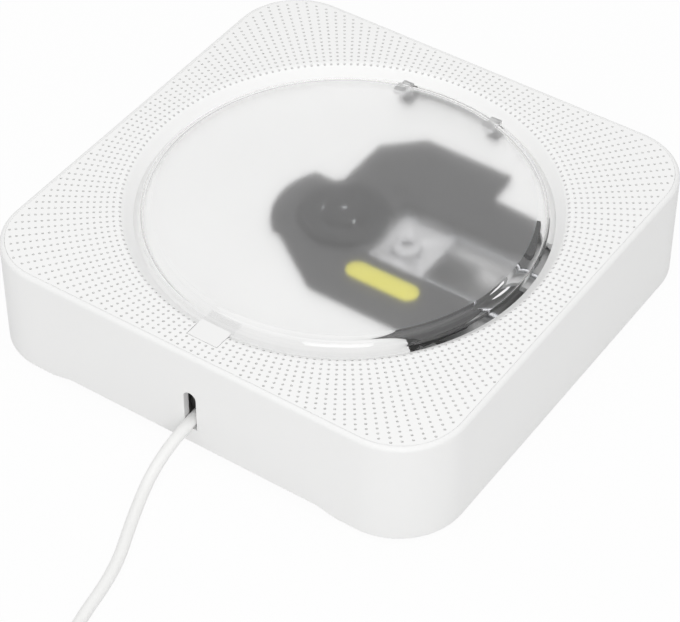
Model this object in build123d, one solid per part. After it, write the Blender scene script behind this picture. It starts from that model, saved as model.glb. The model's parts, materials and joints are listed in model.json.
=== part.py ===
from build123d import *
from math import asin, cos, hypot, pi, radians, sin, sqrt, tan
import os

# Wall mounted disc player, lying on its back as in the picture: +Z is out of the face,
# -Y is the cord side (down when it hangs), +Y is the lid's hinge side.  Millimetres.
# The origin is the middle of the surface that the feet stand on.

# ---------------------------------------------------------------- driving dimensions
# lid, well, dish and face, from the middle outwards
LID_RADIUS = 66.7
LID_CLEARANCE = 1.9          # ring gap between the lid and the wall of the well
DISH_RUN = 3.4               # width of the dished slope
FACE_BORDER = 14.0           # face outside the dish, at the middle of a side
LID_PROUD = 0.9              # lid stands out of the face
LID_ROUND = 3.8              # rounded edge of the lid
LID_THICKNESS = 2.0
LID_SKIRT_WALL = 1.6
LID_SKIRT_DEPTH = 5.1        # lower edge of the skirt below the face
DISH_DEPTH = 3.6             # foot of the slope below the face
DISH_SAG = 0.35              # the slope is slightly hollow
LIP_DEPTH = 5.0              # lower edge of the dished collar
COLLAR_WALL = 1.5
COLLAR_FLANGE = 1.6          # flat ring between the slope and the holes
WELL_DEPTH = 8.6             # floor of the well below the face
WELL_WALL = 1.6
FLOOR_THICKNESS = 1.8
FLOOR_FILLET = 3.0
GRIP_WIDTH = 11.3            # finger tab
GRIP_BEYOND = 5.7            # the tab reaches this far past the dish
GRIP_LENGTH = 7.8
GRIP_THICKNESS = 0.5
GRIP_GAP = 0.2               # seam round the tab
TONGUE_THICKNESS = 0.9       # clear tongue under the tab
TONGUE_ROOT = 0.4            # inside the skirt
TRAY_WALL = 1.5              # tray under the tab's pocket
TRAY_FLOOR = 1.2

# case
CORNER_RADIUS = 23.5         # outer corner in plan
BODY_DEPTH = 39.1            # rear edge of the walls to the face
FOOT_STANDOFF = 1.0          # feet stand this far out of the rear edge
WALL = 2.4                   # side wall
RIM_WIDTH = 1.7              # plain rim round the face panel
RIM_ROUND = 1.5              # rounding of the front edge
PANEL_THICKNESS = 1.8
PANEL_GAP = 0.15             # seam round the panel
SHELF_WIDTH = 2.0            # shelf that the panel lies on, beyond the wall
SHELF_THICKNESS = 1.6
CORD_EDGE_LIFT = 1.6         # raised rear edge on the cord side
CORD_EDGE_HALF = 48.0        # half length of the raised edge
CORD_EDGE_RAMP = 7.0         # run of the slope at its two ends
POST_RADIUS = 3.2            # screw posts of the walls
POST_INSET = 5.2             # their middles from the inner wall
POST_STEP = 18.0             # and from the middle of a speaker, along Y
POST_WEB = 2.0
SCREW_RADIUS = 1.3
SCREW_GRIP = 8.0
SCREW_HEAD_RADIUS = 2.6
SCREW_HEAD = 1.2
SCREW_SEAT = 1.0             # depth of the seats in the rear cover
SCREW_SUNK = 0.1             # heads lie this far inside their seats
SCREW_CLEARANCE = 0.2
REAR_INSET = 0.4             # rear cover lies inside the rear edge
REAR_THICKNESS = 2.0
REAR_GAP = 0.2
FOOT_RADIUS = 4.5
FOOT_INSET = 20.0            # middle of a foot from the outside of the case
KEYHOLE_X = 40.0
KEYHOLE_Y = 30.0
KEYHOLE_RADIUS = 4.5
KEYHOLE_SLOT = 2.2
KEYHOLE_RISE = 9.0
VENT_COUNT = 5
VENT_HALF = 18.0
VENT_WIDTH = 2.0
VENT_PITCH = 5.0
VENT_START = -18.0           # upper edge of the first vent

# lid hinge
HINGE_BEHIND = 5.9           # pin axis outside the wall of the well
HINGE_DEPTH = 4.2            # pin axis below the face
PIN_RADIUS = 1.0
RUNNING_GAP = 0.05           # radial clearance of running fits
FIXED_GAP = 0.02             # radial clearance of fixed fits
ARM_X = 17.6                 # middle of each arm
ARM_WIDTH = 4.0
ARM_INNER_RADIUS = 9.2       # swan neck round the lip, about the pin
ARM_THICKNESS = 2.0
ARM_START = 165.0            # swan neck from here, degrees about the pin
ARM_END = 300.0              # to here
ARM_FOOT = 8.2               # arms reach in under the lid from its edge
ARM_HUB_RADIUS = 2.1
ARM_SPOKE = 3.0
ARM_GAP = 0.6                # free space beside and behind the arms
WINDOW_OUTSIDE = 1.3         # hinge window in the wall of the well, beyond the arms' gaps
WINDOW_SILL = 0.6            # above the floor of the well
EAR_THICKNESS = 3.0
EAR_GAP = 0.8
EAR_CROWN = 2.0              # ear above the pin's axis

# disc drive, placed from the spindle's axis
PLATTER_RADIUS = 14.8
PLATTER_DEPTH = 5.2          # disc seat below the face
PLATTER_THICKNESS = 2.0
PAD_WIDTH = 3.6              # rubber ring under the disc
PAD_THICKNESS = 0.5
PAD_SEAT = 0.1               # the pad stands out of the platter
SPIGOT_RADIUS = 7.35         # fits the 15 mm hole of a disc
SPIGOT_HEIGHT = 2.4
SPIGOT_SLOPE_WIDTH = 1.1     # sloped edge of the spigot
SPIGOT_SLOPE_HEIGHT = 0.9
BOSS_RADIUS = 4.0
BOSS_GAP = 1.2               # boss above the chassis
SHAFT_RADIUS = 1.0
SHAFT_FOOT = 1.0             # end of the shaft inside the motor
SHAFT_SHORT = 0.3            # and below the top of the spigot
BALL_RADIUS = 0.9
BALL_HEIGHT = 1.1            # above the disc seat
BALL_OFFSET = 6.75           # ball centre from the axis
BALL_TRAVEL = 0.3
BALL_SPARE = 0.1             # pocket beyond the travel
BALL_TURNS = (90, 210, 330)
MOTOR_RADIUS = 12.0
MOTOR_HEIGHT = 9.0
MOTOR_EDGE = 1.0
MOTOR_FLOOR = 0.6
BUSH_RADIUS = 3.0
BUSH_PROUD = 0.6             # bush above the chassis
CHASSIS_THICKNESS = 2.0
CHASSIS_DEPTH = 14.1         # top of the chassis plate below the face
BASE_LEFT = -21.0            # left edge, middle and width of the chassis plate
BASE_Y = 3.5
BASE_WIDTH = 56.0
BASE_CORNER = 5.0
DECK_DEPTH = 6.9             # dark deck below the face
DECK_HOLE_GAP = 1.0          # round the platter
DECK_WALL_GAP = 0.5          # to the fillet of the well
DECK_RECESS = 0.8            # small recesses in the deck
DECK_LOBE_RADIUS = 24.2
BAY_MARGIN = 4.2             # round bay beyond the platter
BAY_BEYOND = 5.8             # the bay runs out past the wall of the well
WINDOW_TOP = 17.8            # pickup window, across the travel
WINDOW_BOTTOM = -11.2
WINDOW_LAP = 2.0             # the window starts inside the platter's edge
WINDOW_END = 80.0            # the window runs out past the deck
LABEL_LENGTH = 26.6
LABEL_WIDTH = 7.6
LABEL_THICKNESS = 0.15
LENS_REST = 24.5             # lens at the first track
LENS_TRAVEL = 33.5           # to the last track
LENS_RADIUS = 2.0
LENS_FOOT = 3.2              # above the rods
LENS_EDGE = 1.0              # height of the edge, of the shoulder and in the middle
LENS_SHOULDER = 1.7
LENS_HEIGHT = 1.9
LENS_CROWN_RADIUS = 1.2
HOLDER_RADIUS = 4.6
HOLDER_FOOT = 2.4            # foot, shoulder and top of the lens holder above the rods
HOLDER_SHOULDER = 4.0
HOLDER_TOP = 4.6
HOLDER_BEVEL = 1.2
SLED_BACK = 9.0              # sled behind and before the lens
SLED_FRONT = 11.0
SLED_SPARE = 1.0             # free run past the last track
SLED_GAP = 0.5               # above the chassis
SLED_TOP = 2.6               # above the rods
SLED_CHEEK = 3.2             # beyond the main rod
SLED_SHORT = 3.0             # sled's body ends before the side rod
FORK_START = 4.0             # fork round the side rod, behind and before the lens
FORK_END = 6.0
FORK_LIP = 1.2
FORK_REACH = 1.6
LENS_WELL_RADIUS = 5.2
LENS_WELL_FLOOR = 1.8        # above the rods
ROD_RADIUS = 1.5
SIDE_ROD_RADIUS = 1.0
MAIN_ROD_Y = -8.0
SIDE_ROD_Y = 15.5
ROD_HEIGHT = 2.6             # rods above the chassis plate
ROD_START = 9.0
ROD_BLOCK = 3.0              # length of the blocks that hold the rods
ROD_STOP = 1.0               # closed end of a block
ROD_SHORT = 0.2              # rod's end before it
ROD_CHEEK = 1.3              # block beside and above a rod
ROD_CROWN = 0.7
OPENING_START = 30.0         # opening in the chassis plate
OPENING_END = 66.0
OPENING_MARGIN = 4.0         # between the rods and the opening
GEAR_MODULE = 0.5
BIG_TEETH = 48
PINION_TEETH = 12
RACK_MODULE = 0.6
SMALL_TEETH = 15
PINION_TURN = -30            # direction from the gear to the pinion, degrees
ADDENDUM = 0.8               # tooth height above and below the pitch line, in modules
DEDENDUM = 1.1
ROOT_SHARE = 0.30            # half width of a tooth at its root and tip, in pitches
TIP_SHARE = 0.12
GEAR_X = 24.0
GEAR_WIDTH = 1.6
GEAR_GAP = 0.5               # gear under the chassis plate
GEAR_HUB_RADIUS = 2.4
GEAR_HUB_LAP = 0.2           # hub into the small gear
AXLE_RADIUS = 1.0
AXLE_PROUD = 0.4             # above the small gear
PINION_SHAFT_RADIUS = 0.75
PINION_SHAFT_FOOT = 1.0      # into the feed motor
PINION_SHAFT_SPARE = 0.4     # bore below its end
RACK_WIDTH = 2.2
RACK_Y = -14.0               # pitch line of the rack
RACK_GAP = 0.4               # small gear above the chassis plate
RACK_SPARE = 2.5             # pitches of rack beyond the gear at rest
RACK_LAP = 0.1               # rack into the sled
GEAR_SHELF = 1.6             # shelf under the gear
GEAR_SHELF_GAP = 0.7
GEAR_SHELF_SIDE = 3.0        # beyond the big gear's pitch circle
GEAR_SHELF_FAR = 6.0
FEED_CAN_RADIUS = 8.0
FEED_CAN_HEIGHT = 10.5
FEED_CAN_MARGIN = 1.0
FEED_BUSH_RADIUS = 1.9
FEED_BUSH_SHORT = 0.2        # below the top of the shelf
DAMPER_INSET = 4.5           # from the edges of the chassis plate
DAMPER_RADIUS = 4.2
DAMPER_NECK = 2.6
DAMPER_PLAY = 0.1            # hole in the chassis round the neck
DAMPER_BORE = 1.5
DAMPER_FLANGE = 1.0
DAMPER_POST_RADIUS = 3.6
DAMPER_SCREW_RADIUS = 1.4
DAMPER_SCREW_DEPTH = 7.0
DAMPER_HEAD_RADIUS = 3.0
DAMPER_HEAD = 1.2

# boards, buttons, socket and speakers
BOARD_THICKNESS = 1.6
BOARD_STANDOFF = 4.0
BOARD_WALL_GAP = 4.6         # main board to the side wall
BOARD_POST_GAP = 0.9         # and to the posts of the drive
BOARD_WIDTH = 54.0
BOARD_Y = -7.0               # middle of the main board
BOARD_POST_RADIUS = 2.4
BOARD_POST_X = 5.0           # posts inside the board's edges
BOARD_POST_Y = 6.0
CHIPS = [                    # x from the board's left edge, y from its middle, height
    (23.0, 35.0, 1.0, 13.0, 1.6),
    (39.0, 48.0, 13.0, 23.0, 1.4),
    (9.0, 19.0, -23.0, -17.0, 5.5),
    (7.0, 13.0, 11.0, 23.0, 5.5),
]
CAPACITOR_RADIUS = 3.1
CAPACITOR_HEIGHT = 9.0
CAPACITOR_X = (11.0, 19.0, 27.0)
CAPACITOR_Y = -7.0
SOCKET_LENGTH = 10.0         # socket of the flat cable
SOCKET_HEIGHT = 5.5
SOCKET_INSET = 3.0           # from the board's right edge
SOCKET_Y = -4.0              # from the board's middle
FLEX_THICKNESS = 0.5
FLEX_WIDTH = 6.0
FLEX_INSET = 3.0             # inside the socket's right end
FLEX_RISE = 3.0              # straight run out of the socket
FLEX_DROP = 2.0              # and under the chassis
FLEX_END = 7.0               # inside the left edge of the chassis
BUTTON_COUNT = 5
BUTTON_PITCH = 13.0
BUTTON_WIDTH = 9.0
BUTTON_HEIGHT = 4.4
BUTTON_PROUD = 0.6
BUTTON_TRAVEL = 0.7
BUTTON_GAP = 0.15
BUTTON_ROUND = 0.5
BUTTON_STEM = 2.6            # inside the wall
BUTTON_FLANGE = 1.0          # width and thickness of the flange inside the wall
BUTTON_PLAY = 0.3            # flange behind the wall
BUTTON_Z = 14.0
TACT_SIDE = 6.0
TACT_HEIGHT = 2.2
TACT_PLUNGER_RADIUS = 1.4
TACT_STROKE = 0.8            # plunger out of its switch
TACT_LAP = 0.2
TACT_GAP = 0.3               # plunger to the button
RIB_THICKNESS = 3.0          # slotted ribs that hold the button board
RIB_OUTSIDE = 7.0            # beyond the last button
RIB_BEHIND = 3.4
RIB_BEFORE = 4.6
RIB_HEIGHT = 8.0
RIB_SEAT = 4.8               # board stands this far above the rear cover
RIB_PLAY = 0.1
BUTTON_BOARD_MARGIN = 3.0    # beyond the middle of a rib
BUTTON_BOARD_RISE = 6.0      # above the middle of the buttons
STRIP_MARGIN = 8.0           # strip of the controls beyond the last button and the socket
STRIP_HALF = 8.0             # half its height
STRIP_ROUND = 3.0
STRIP_GAP = 0.1              # seam round the strip
STRIP_BRIM = 1.5             # width and thickness of its brim inside the wall
STRIP_BRIM_SHEET = 1.0
JACK_X = -52.0
JACK_RADIUS = 1.8
JACK_SLEEVE = 3.0
JACK_SIDE = 8.0
JACK_LENGTH = 13.0
JACK_END_WALL = 1.0
JACK_INSET = 0.2             # sleeve inside the outer face of the wall
JACK_STAND_MARGIN = 1.0      # stand inside the edges of the socket's box
JACK_STAND_LENGTH = 8.0
SPEAKER_GAP = 0.41           # to the collar
SPEAKER_CORNER_GAP = 0.48    # to the shelf in the corner
SPEAKER_DEPTH = 12.0
BASKET_LAND = 2.2            # width and thickness of the flat ring under the panel
BASKET_RING = 1.2
BASKET_SHEET = 1.0
BASKET_HOLE = 2.0            # hole in the bottom, inside the magnet's edge
MAGNET_RADIUS = 10.5
MAGNET_DEPTH = 6.5
CONE_GAP = 1.0               # under the panel
CONE_EDGE_GAP = 0.3
CONE_EDGE = 0.5
CONE_SURROUND = 1.6          # flat outer ring, below and above
CONE_SURROUND_TOP = 1.8
CONE_NECK = 4.0
CONE_DEPTH = 6.0
CONE_SHEET = 0.8             # at the neck
DUST_CAP = 2.0               # in the middle, above the neck

# pull switch and cord
SLOT_X = 0.6
SLOT_WIDTH = 4.7
SLOT_BOTTOM = 9.0
SLOT_TOP = 24.3
CORD_EXIT_Z = 12.2
FERRULE_RADIUS = 3.2
FERRULE_TAPER = 3.2
FERRULE_LENGTH = 4.7
FERRULE_LAP = 0.3            # foot of the ferrule round the cord
BRACKET_WIDTH = 14.0
BRACKET_LENGTH = 24.0
BRACKET_BEFORE = 1.5         # the bracket starts before the slider
BRACKET_WALL = 1.6
BRACKET_BACK = 2.0
BRACKET_FLOOR = 1.4
BRACKET_CROWN = 4.0          # above the cord
SLIDER_WIDTH = 10.6
SLIDER_LENGTH = 12.5
SLIDER_CROWN = 3.4
SPRING_RADIUS = 2.4
SPRING_BORE = 1.6
SPRING_GAP = 0.1
SWITCH_GAP = 0.1
SWITCH_WIDTH = 5.9
SWITCH_LENGTH = 12.0
SWITCH_BEHIND = 4.5          # its front behind the slider's
SWITCH_UNDER = 1.0           # below the cord
CORD_DIAMETER = 3.9
CORD_INSET = 6.8             # the cord starts this far inside the case's side
CORD_LIE = 1.96              # height of the cord's middle where it lies
CORD_RUNS = [                # free stretch: x, distance out of the case's side, height
    (SLOT_X, -CORD_INSET, CORD_EXIT_Z),
    (SLOT_X, 4.5, CORD_EXIT_Z),
    (-2.6, 16.5, CORD_LIE),
    (4.6, 36.0, CORD_LIE),
    (13.0, 55.0, CORD_LIE),
    (16.4, 78.0, CORD_LIE),
    (23.0, 100.0, CORD_LIE),
    (25.2, 113.75, CORD_LIE),
]
CORD_SIDES = 10
RUN_SHARE = 0.45             # share of the shorter run that an arc takes
COIL_PITCH = 4.45            # between neighbouring turns and layers
COIL_INNER = 11.8
COIL_TRACKS = 6
PLUG_RELIEF = 20.0
PLUG_LENGTH = 22.0
PLUG_WIDTH = 15.0
PLUG_THICKNESS = 7.6
PLUG_ROUND = 2.0
RELIEF_LAP = 0.2             # thin end of the relief round the cord
RELIEF_STEP = 0.4            # thick end of the relief inside the plug's thickness
SHELL_LENGTH = 12.0
SHELL_WIDTH = 12.0
SHELL_THICKNESS = 4.5
SHELL_SHEET = 0.4
SHELL_SLOT = 1.7
SHELL_SLOT_LIFT = 1.0

CUT = 1.0                    # how far a cutting shape runs past what it cuts
LAP = 0.5                    # how far fused shapes reach into each other

# ---------------------------------------------------------------- worked out from them
FACE = FOOT_STANDOFF + BODY_DEPTH
REAR = FOOT_STANDOFF
WELL_RADIUS = LID_RADIUS + LID_CLEARANCE
WELL_OUTER = WELL_RADIUS + WELL_WALL
DISH_TOP_RADIUS = WELL_RADIUS + DISH_RUN
PANEL_HOLE = DISH_TOP_RADIUS + COLLAR_FLANGE
SIDE = 2 * (DISH_TOP_RADIUS + FACE_BORDER)
INNER_HALF = SIDE / 2 - WALL
INNER_CORNER = CORNER_RADIUS - WALL
PANEL_BOTTOM = FACE - PANEL_THICKNESS
DISH_FOOT = FACE - DISH_DEPTH
LIP_BOTTOM = FACE - LIP_DEPTH
FLOOR_TOP = FACE - WELL_DEPTH
FLOOR_BOTTOM = FLOOR_TOP - FLOOR_THICKNESS
LID_TOP = FACE + LID_PROUD
LID_UNDER = LID_TOP - LID_THICKNESS
SKIRT_BOTTOM = FACE - LID_SKIRT_DEPTH
SKIRT_INNER = LID_RADIUS - LID_SKIRT_WALL
GRIP_REACH = DISH_TOP_RADIUS + GRIP_BEYOND
REAR_BOTTOM = REAR + REAR_INSET
REAR_TOP = REAR_BOTTOM + REAR_THICKNESS
HINGE_Y = WELL_RADIUS + HINGE_BEHIND
HINGE_Z = FACE - HINGE_DEPTH
ARM_OUTER_RADIUS = ARM_INNER_RADIUS + ARM_THICKNESS
WINDOW_HALF = ARM_X + ARM_WIDTH / 2 + ARM_GAP + WINDOW_OUTSIDE
CORNER_REACH = (INNER_HALF - INNER_CORNER) * sqrt(2) + INNER_CORNER - SHELF_WIDTH
SPEAKER_RADIUS = (CORNER_REACH - PANEL_HOLE - SPEAKER_GAP - SPEAKER_CORNER_GAP) / 2
SPEAKER_XY = (PANEL_HOLE + SPEAKER_GAP + SPEAKER_RADIUS) / sqrt(2)
POST_X = INNER_HALF - POST_INSET
POST_Y = SPEAKER_XY - POST_STEP
FOOT_XY = SIDE / 2 - FOOT_INSET
DECK_TOP = FACE - DECK_DEPTH
SEAT = FACE - PLATTER_DEPTH
PLATTER_UNDER = SEAT - PLATTER_THICKNESS
SPIGOT_TOP = SEAT + SPIGOT_HEIGHT
BALL_Z = SEAT + BALL_HEIGHT
CHASSIS_TOP = FACE - CHASSIS_DEPTH
CHASSIS_BOTTOM = CHASSIS_TOP - CHASSIS_THICKNESS
MOTOR_BOTTOM = CHASSIS_BOTTOM - MOTOR_HEIGHT
ROD_Z = CHASSIS_TOP + ROD_HEIGHT
ROD_END = LENS_REST + LENS_TRAVEL + SLED_FRONT + SLED_SPARE + ROD_BLOCK
BASE_LENGTH = ROD_END - BASE_LEFT
BASE_X = BASE_LEFT + BASE_LENGTH / 2
BASE_EDGE = BASE_Y - BASE_WIDTH / 2
BIG_RADIUS = GEAR_MODULE * BIG_TEETH / 2
PINION_DISTANCE = GEAR_MODULE * (BIG_TEETH + PINION_TEETH) / 2
GEAR_Y = RACK_Y - RACK_MODULE * SMALL_TEETH / 2
PINION_X = GEAR_X + PINION_DISTANCE * cos(radians(PINION_TURN))
PINION_Y = GEAR_Y + PINION_DISTANCE * sin(radians(PINION_TURN))
BIG_GEAR_TOP = CHASSIS_BOTTOM - GEAR_GAP
BIG_GEAR_BOTTOM = BIG_GEAR_TOP - GEAR_WIDTH
SHELF_TOP = BIG_GEAR_BOTTOM - GEAR_SHELF_GAP
SHELF_BOTTOM = SHELF_TOP - GEAR_SHELF
SMALL_GEAR_BOTTOM = CHASSIS_TOP + RACK_GAP
SMALL_GEAR_TOP = SMALL_GEAR_BOTTOM + RACK_WIDTH
BOARD_BOTTOM = REAR_TOP + BOARD_STANDOFF
BOARD_TOP = BOARD_BOTTOM + BOARD_THICKNESS
BUTTON_END = INNER_HALF - BUTTON_STEM
PLUNGER_END = BUTTON_END - BUTTON_TRAVEL - TACT_GAP
BUTTON_BOARD_Y = PLUNGER_END - TACT_STROKE - TACT_HEIGHT - BOARD_THICKNESS
BUTTON_BOARD_BOTTOM = REAR_TOP + RIB_SEAT
RIB_X = BUTTON_PITCH * (BUTTON_COUNT - 1) / 2 + RIB_OUTSIDE
CORD_ROUTE = [(x, -SIDE / 2 - out, z) for x, out, z in CORD_RUNS]
CORD_START_Y = CORD_ROUTE[0][1]
SLIDER_FRONT = CORD_START_Y + FERRULE_LENGTH
SLIDER_BACK = SLIDER_FRONT + SLIDER_LENGTH
BRACKET_FRONT = SLIDER_FRONT - BRACKET_BEFORE
BRACKET_END = BRACKET_FRONT + BRACKET_LENGTH
SPRING_END = BRACKET_END - BRACKET_BACK

# places that come in fours or in rows
POSTS = [(x, y) for x in (-POST_X, POST_X) for y in (-POST_Y, POST_Y)]
FEET = [(x, y) for x in (-FOOT_XY, FOOT_XY) for y in (-FOOT_XY, FOOT_XY)]
DAMPER_X = BASE_LENGTH / 2 - DAMPER_INSET
DAMPER_Y = BASE_WIDTH / 2 - DAMPER_INSET
DAMPERS = [(BASE_X + x, BASE_Y + y) for x in (-DAMPER_X, DAMPER_X) for y in (-DAMPER_Y, DAMPER_Y)]
BOARD_LEFT = -INNER_HALF + BOARD_WALL_GAP
BOARD_RIGHT = BASE_X - DAMPER_X - DAMPER_POST_RADIUS - BOARD_POST_GAP
BOARD_NEAR, BOARD_FAR = BOARD_Y - BOARD_WIDTH / 2, BOARD_Y + BOARD_WIDTH / 2
BOARD_POSTS = [(x, y) for x in (BOARD_LEFT + BOARD_POST_X, BOARD_RIGHT - BOARD_POST_X)
               for y in (BOARD_NEAR + BOARD_POST_Y, BOARD_FAR - BOARD_POST_Y)]
SOCKET_END = BOARD_RIGHT - SOCKET_INSET
BUTTONS = [(i - (BUTTON_COUNT - 1) / 2) * BUTTON_PITCH for i in range(BUTTON_COUNT)]
STRIP_LEFT, STRIP_RIGHT = JACK_X - STRIP_MARGIN, BUTTONS[-1] + STRIP_MARGIN

# outlines of the dark deck and of the bay that is left open for the drive, in plan
DECK = [(1.4, 48.3), (34.6, 48.0), (35.6, 34.8), (53.4, 33.6), (59.6, 20.2), (59.6, -20.0),
        (53.0, -34.4), (8.9, -33.8), (-13.6, -18.0), (-13.6, 12.0), (-10.6, 15.4), (-10.6, 36.6)]
BAY_END = WELL_OUTER + BAY_BEYOND
BAY = [(-8.0, 32.0), (33.0, 32.0), (53.5, 31.6), (64.0, 27.0), (BAY_END, 27.0), (BAY_END, -44.0),
       (57.0, -44.0), (43.0, -31.6), (9.8, -31.2), (-13.0, -14.6)]
LOBE = (-20.0, -2.5, 20.0, 31.0)     # middle and size of the box that bounds the deck's lobe
DECK_EYE = (-3.6, 27.9, 2.2)         # round recess: x, y, radius
DECK_NOTCH = (6.0, 15.4, 19.0, 22.4)  # square recess: from x to x, from y to y
LABEL_PLACE = (27.5, -19.2)

os.makedirs("parts", exist_ok=True)


# ---------------------------------------------------------------- small helpers
def slab(x0, x1, y0, y1, z0, z1):
    """A box from corner to corner."""
    return Pos((x0 + x1) / 2, (y0 + y1) / 2, (z0 + z1) / 2) * Box(x1 - x0, y1 - y0, z1 - z0)


def rod(radius, z0, z1, x=0.0, y=0.0):
    """An upright cylinder from z0 to z1."""
    return Pos(x, y, (z0 + z1) / 2) * Cylinder(radius, z1 - z0)


def rod_x(radius, x0, x1, y, z):
    """A cylinder along X."""
    return Pos((x0 + x1) / 2, y, z) * Rot(0, 90, 0) * Cylinder(radius, x1 - x0)


def rod_y(radius, y0, y1, x, z):
    """A cylinder along Y."""
    return Pos(x, (y0 + y1) / 2, z) * Rot(90, 0, 0) * Cylinder(radius, y1 - y0)


def plate(sketch, z0, z1):
    """A flat outline raised from z0 to z1."""
    return extrude(Pos(0, 0, z0) * sketch, z1 - z0)


def square_outline(half, radius):
    """A rounded square about the origin."""
    return RectangleRounded(2 * half, 2 * half, radius)


def polygon(points):
    """A flat face with straight edges."""
    return make_face(Polyline(*points, close=True))


def curved_outline(*edges):
    """A face in the XZ plane from lines and arcs given in (r, z)."""
    return make_face([Plane.XZ * edge for edge in edges])


def turned(points):
    """A closed (r, z) outline turned about Z."""
    return revolve(make_face(Plane.XZ * Polyline(*points, close=True)), Axis.Z)


def arc_about(centre, radius, start, end):
    """An arc about a centre, between two angles in degrees."""
    points = []
    for angle in (start, (start + end) / 2, end):
        turn = radians(angle)
        points.append((centre[0] + radius * cos(turn), centre[1] + radius * sin(turn)))
    return ThreePointArc(*points)


def span(side, near, far):
    """Lowest and highest x of a stretch from near to far on one side of the middle."""
    return sorted((side * near, side * far))


def facing_rear(x, y):
    """Plane in the X and Z directions that looks along +Y."""
    return Plane((x, y, BUTTON_Z), x_dir=(1, 0, 0), z_dir=(0, 1, 0))


def gear_outline(module, teeth, turn=0.0):
    """Trapezoid teeth, a little slimmer than half the pitch so that meshed teeth run free."""
    pitch_radius = module * teeth / 2
    tip = pitch_radius + ADDENDUM * module
    root = pitch_radius - DEDENDUM * module
    step = 360 / teeth
    points = []
    for tooth in range(teeth):
        middle = turn + tooth * step
        for radius, share in ((root, -ROOT_SHARE), (tip, -TIP_SHARE), (tip, TIP_SHARE),
                              (root, ROOT_SHARE)):
            angle = radians(middle + share * step)
            points.append((radius * cos(angle), radius * sin(angle)))
    return polygon(points)


# ---------------------------------------------------------------- case
def screw_post(x, y):
    """Post with a web to the wall and a hole in each end."""
    side = 1 if x > 0 else -1
    x0, x1 = span(side, POST_X, INNER_HALF + WALL / 2)
    post = rod(POST_RADIUS, REAR_TOP, FLOOR_BOTTOM, x, y)
    post += slab(x0, x1, y - POST_WEB / 2, y + POST_WEB / 2, REAR_TOP, FLOOR_BOTTOM)
    post -= rod(SCREW_RADIUS, REAR_TOP - CUT, REAR_TOP + SCREW_GRIP + CUT, x, y)
    return post - rod(SCREW_RADIUS, FLOOR_BOTTOM - SCREW_GRIP - CUT, FLOOR_BOTTOM + CUT, x, y)


def outer_housing():
    """Side walls with the front rim, the shelf for the panel and the screw posts."""
    block = plate(square_outline(SIDE / 2, CORNER_RADIUS), REAR, FACE)
    block = fillet(block.faces().sort_by(Axis.Z)[-1].edges(), RIM_ROUND)
    block -= plate(square_outline(INNER_HALF - SHELF_WIDTH, INNER_CORNER - SHELF_WIDTH), REAR, FACE)
    block -= plate(square_outline(INNER_HALF, INNER_CORNER), REAR, PANEL_BOTTOM - SHELF_THICKNESS)
    block -= plate(square_outline(SIDE / 2 - RIM_WIDTH, CORNER_RADIUS - RIM_WIDTH), PANEL_BOTTOM, FACE)
    for x, y in POSTS:
        block += screw_post(x, y)
    slot_half = SLOT_WIDTH / 2
    outside, inside = -SIDE / 2 - CUT, -INNER_HALF + CUT
    block -= slab(SLOT_X - slot_half, SLOT_X + slot_half, outside, inside, SLOT_BOTTOM, SLOT_TOP - slot_half)
    block -= rod_y(slot_half, outside, inside, SLOT_X, SLOT_TOP - slot_half)
    lift = REAR + CORD_EDGE_LIFT
    foot = CORD_EDGE_HALF + CORD_EDGE_RAMP
    edge = Polyline((-foot, REAR), (foot, REAR), (CORD_EDGE_HALF, lift), (-CORD_EDGE_HALF, lift), close=True)
    block -= Pos(0, -INNER_HALF + CUT, 0) * extrude(make_face(Plane.XZ * edge), WALL + 2 * CUT)
    return block - strip_plate(STRIP_GAP, INNER_HALF - CUT, SIDE / 2 + CUT)


def strip_plate(grown, y0, y1):
    """Plate with the outline of the control strip, grown all round, from y0 to y1."""
    middle, length = (STRIP_LEFT + STRIP_RIGHT) / 2, STRIP_RIGHT - STRIP_LEFT + 2 * grown
    outline = RectangleRounded(length, 2 * (STRIP_HALF + grown), STRIP_ROUND + grown)
    return extrude(facing_rear(middle, y0) * outline, y1 - y0)


def control_strip():
    """Strip of the rear wall with the holes for the buttons and the socket, held by its brim."""
    brim_front = INNER_HALF - STRIP_BRIM_SHEET
    strip = strip_plate(0, brim_front, SIDE / 2) + strip_plate(STRIP_BRIM, brim_front, INNER_HALF)
    strip -= strip_plate(-STRIP_BRIM, brim_front - CUT, INNER_HALF)
    for x in BUTTONS:
        hole = SlotOverall(BUTTON_WIDTH + 2 * BUTTON_GAP, BUTTON_HEIGHT + 2 * BUTTON_GAP)
        strip -= extrude(facing_rear(x, INNER_HALF - CUT) * hole, WALL + 2 * CUT)
    return strip - rod_y(JACK_SLEEVE + BUTTON_GAP, INNER_HALF - CUT, SIDE / 2 + CUT, JACK_X, BUTTON_Z)


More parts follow.
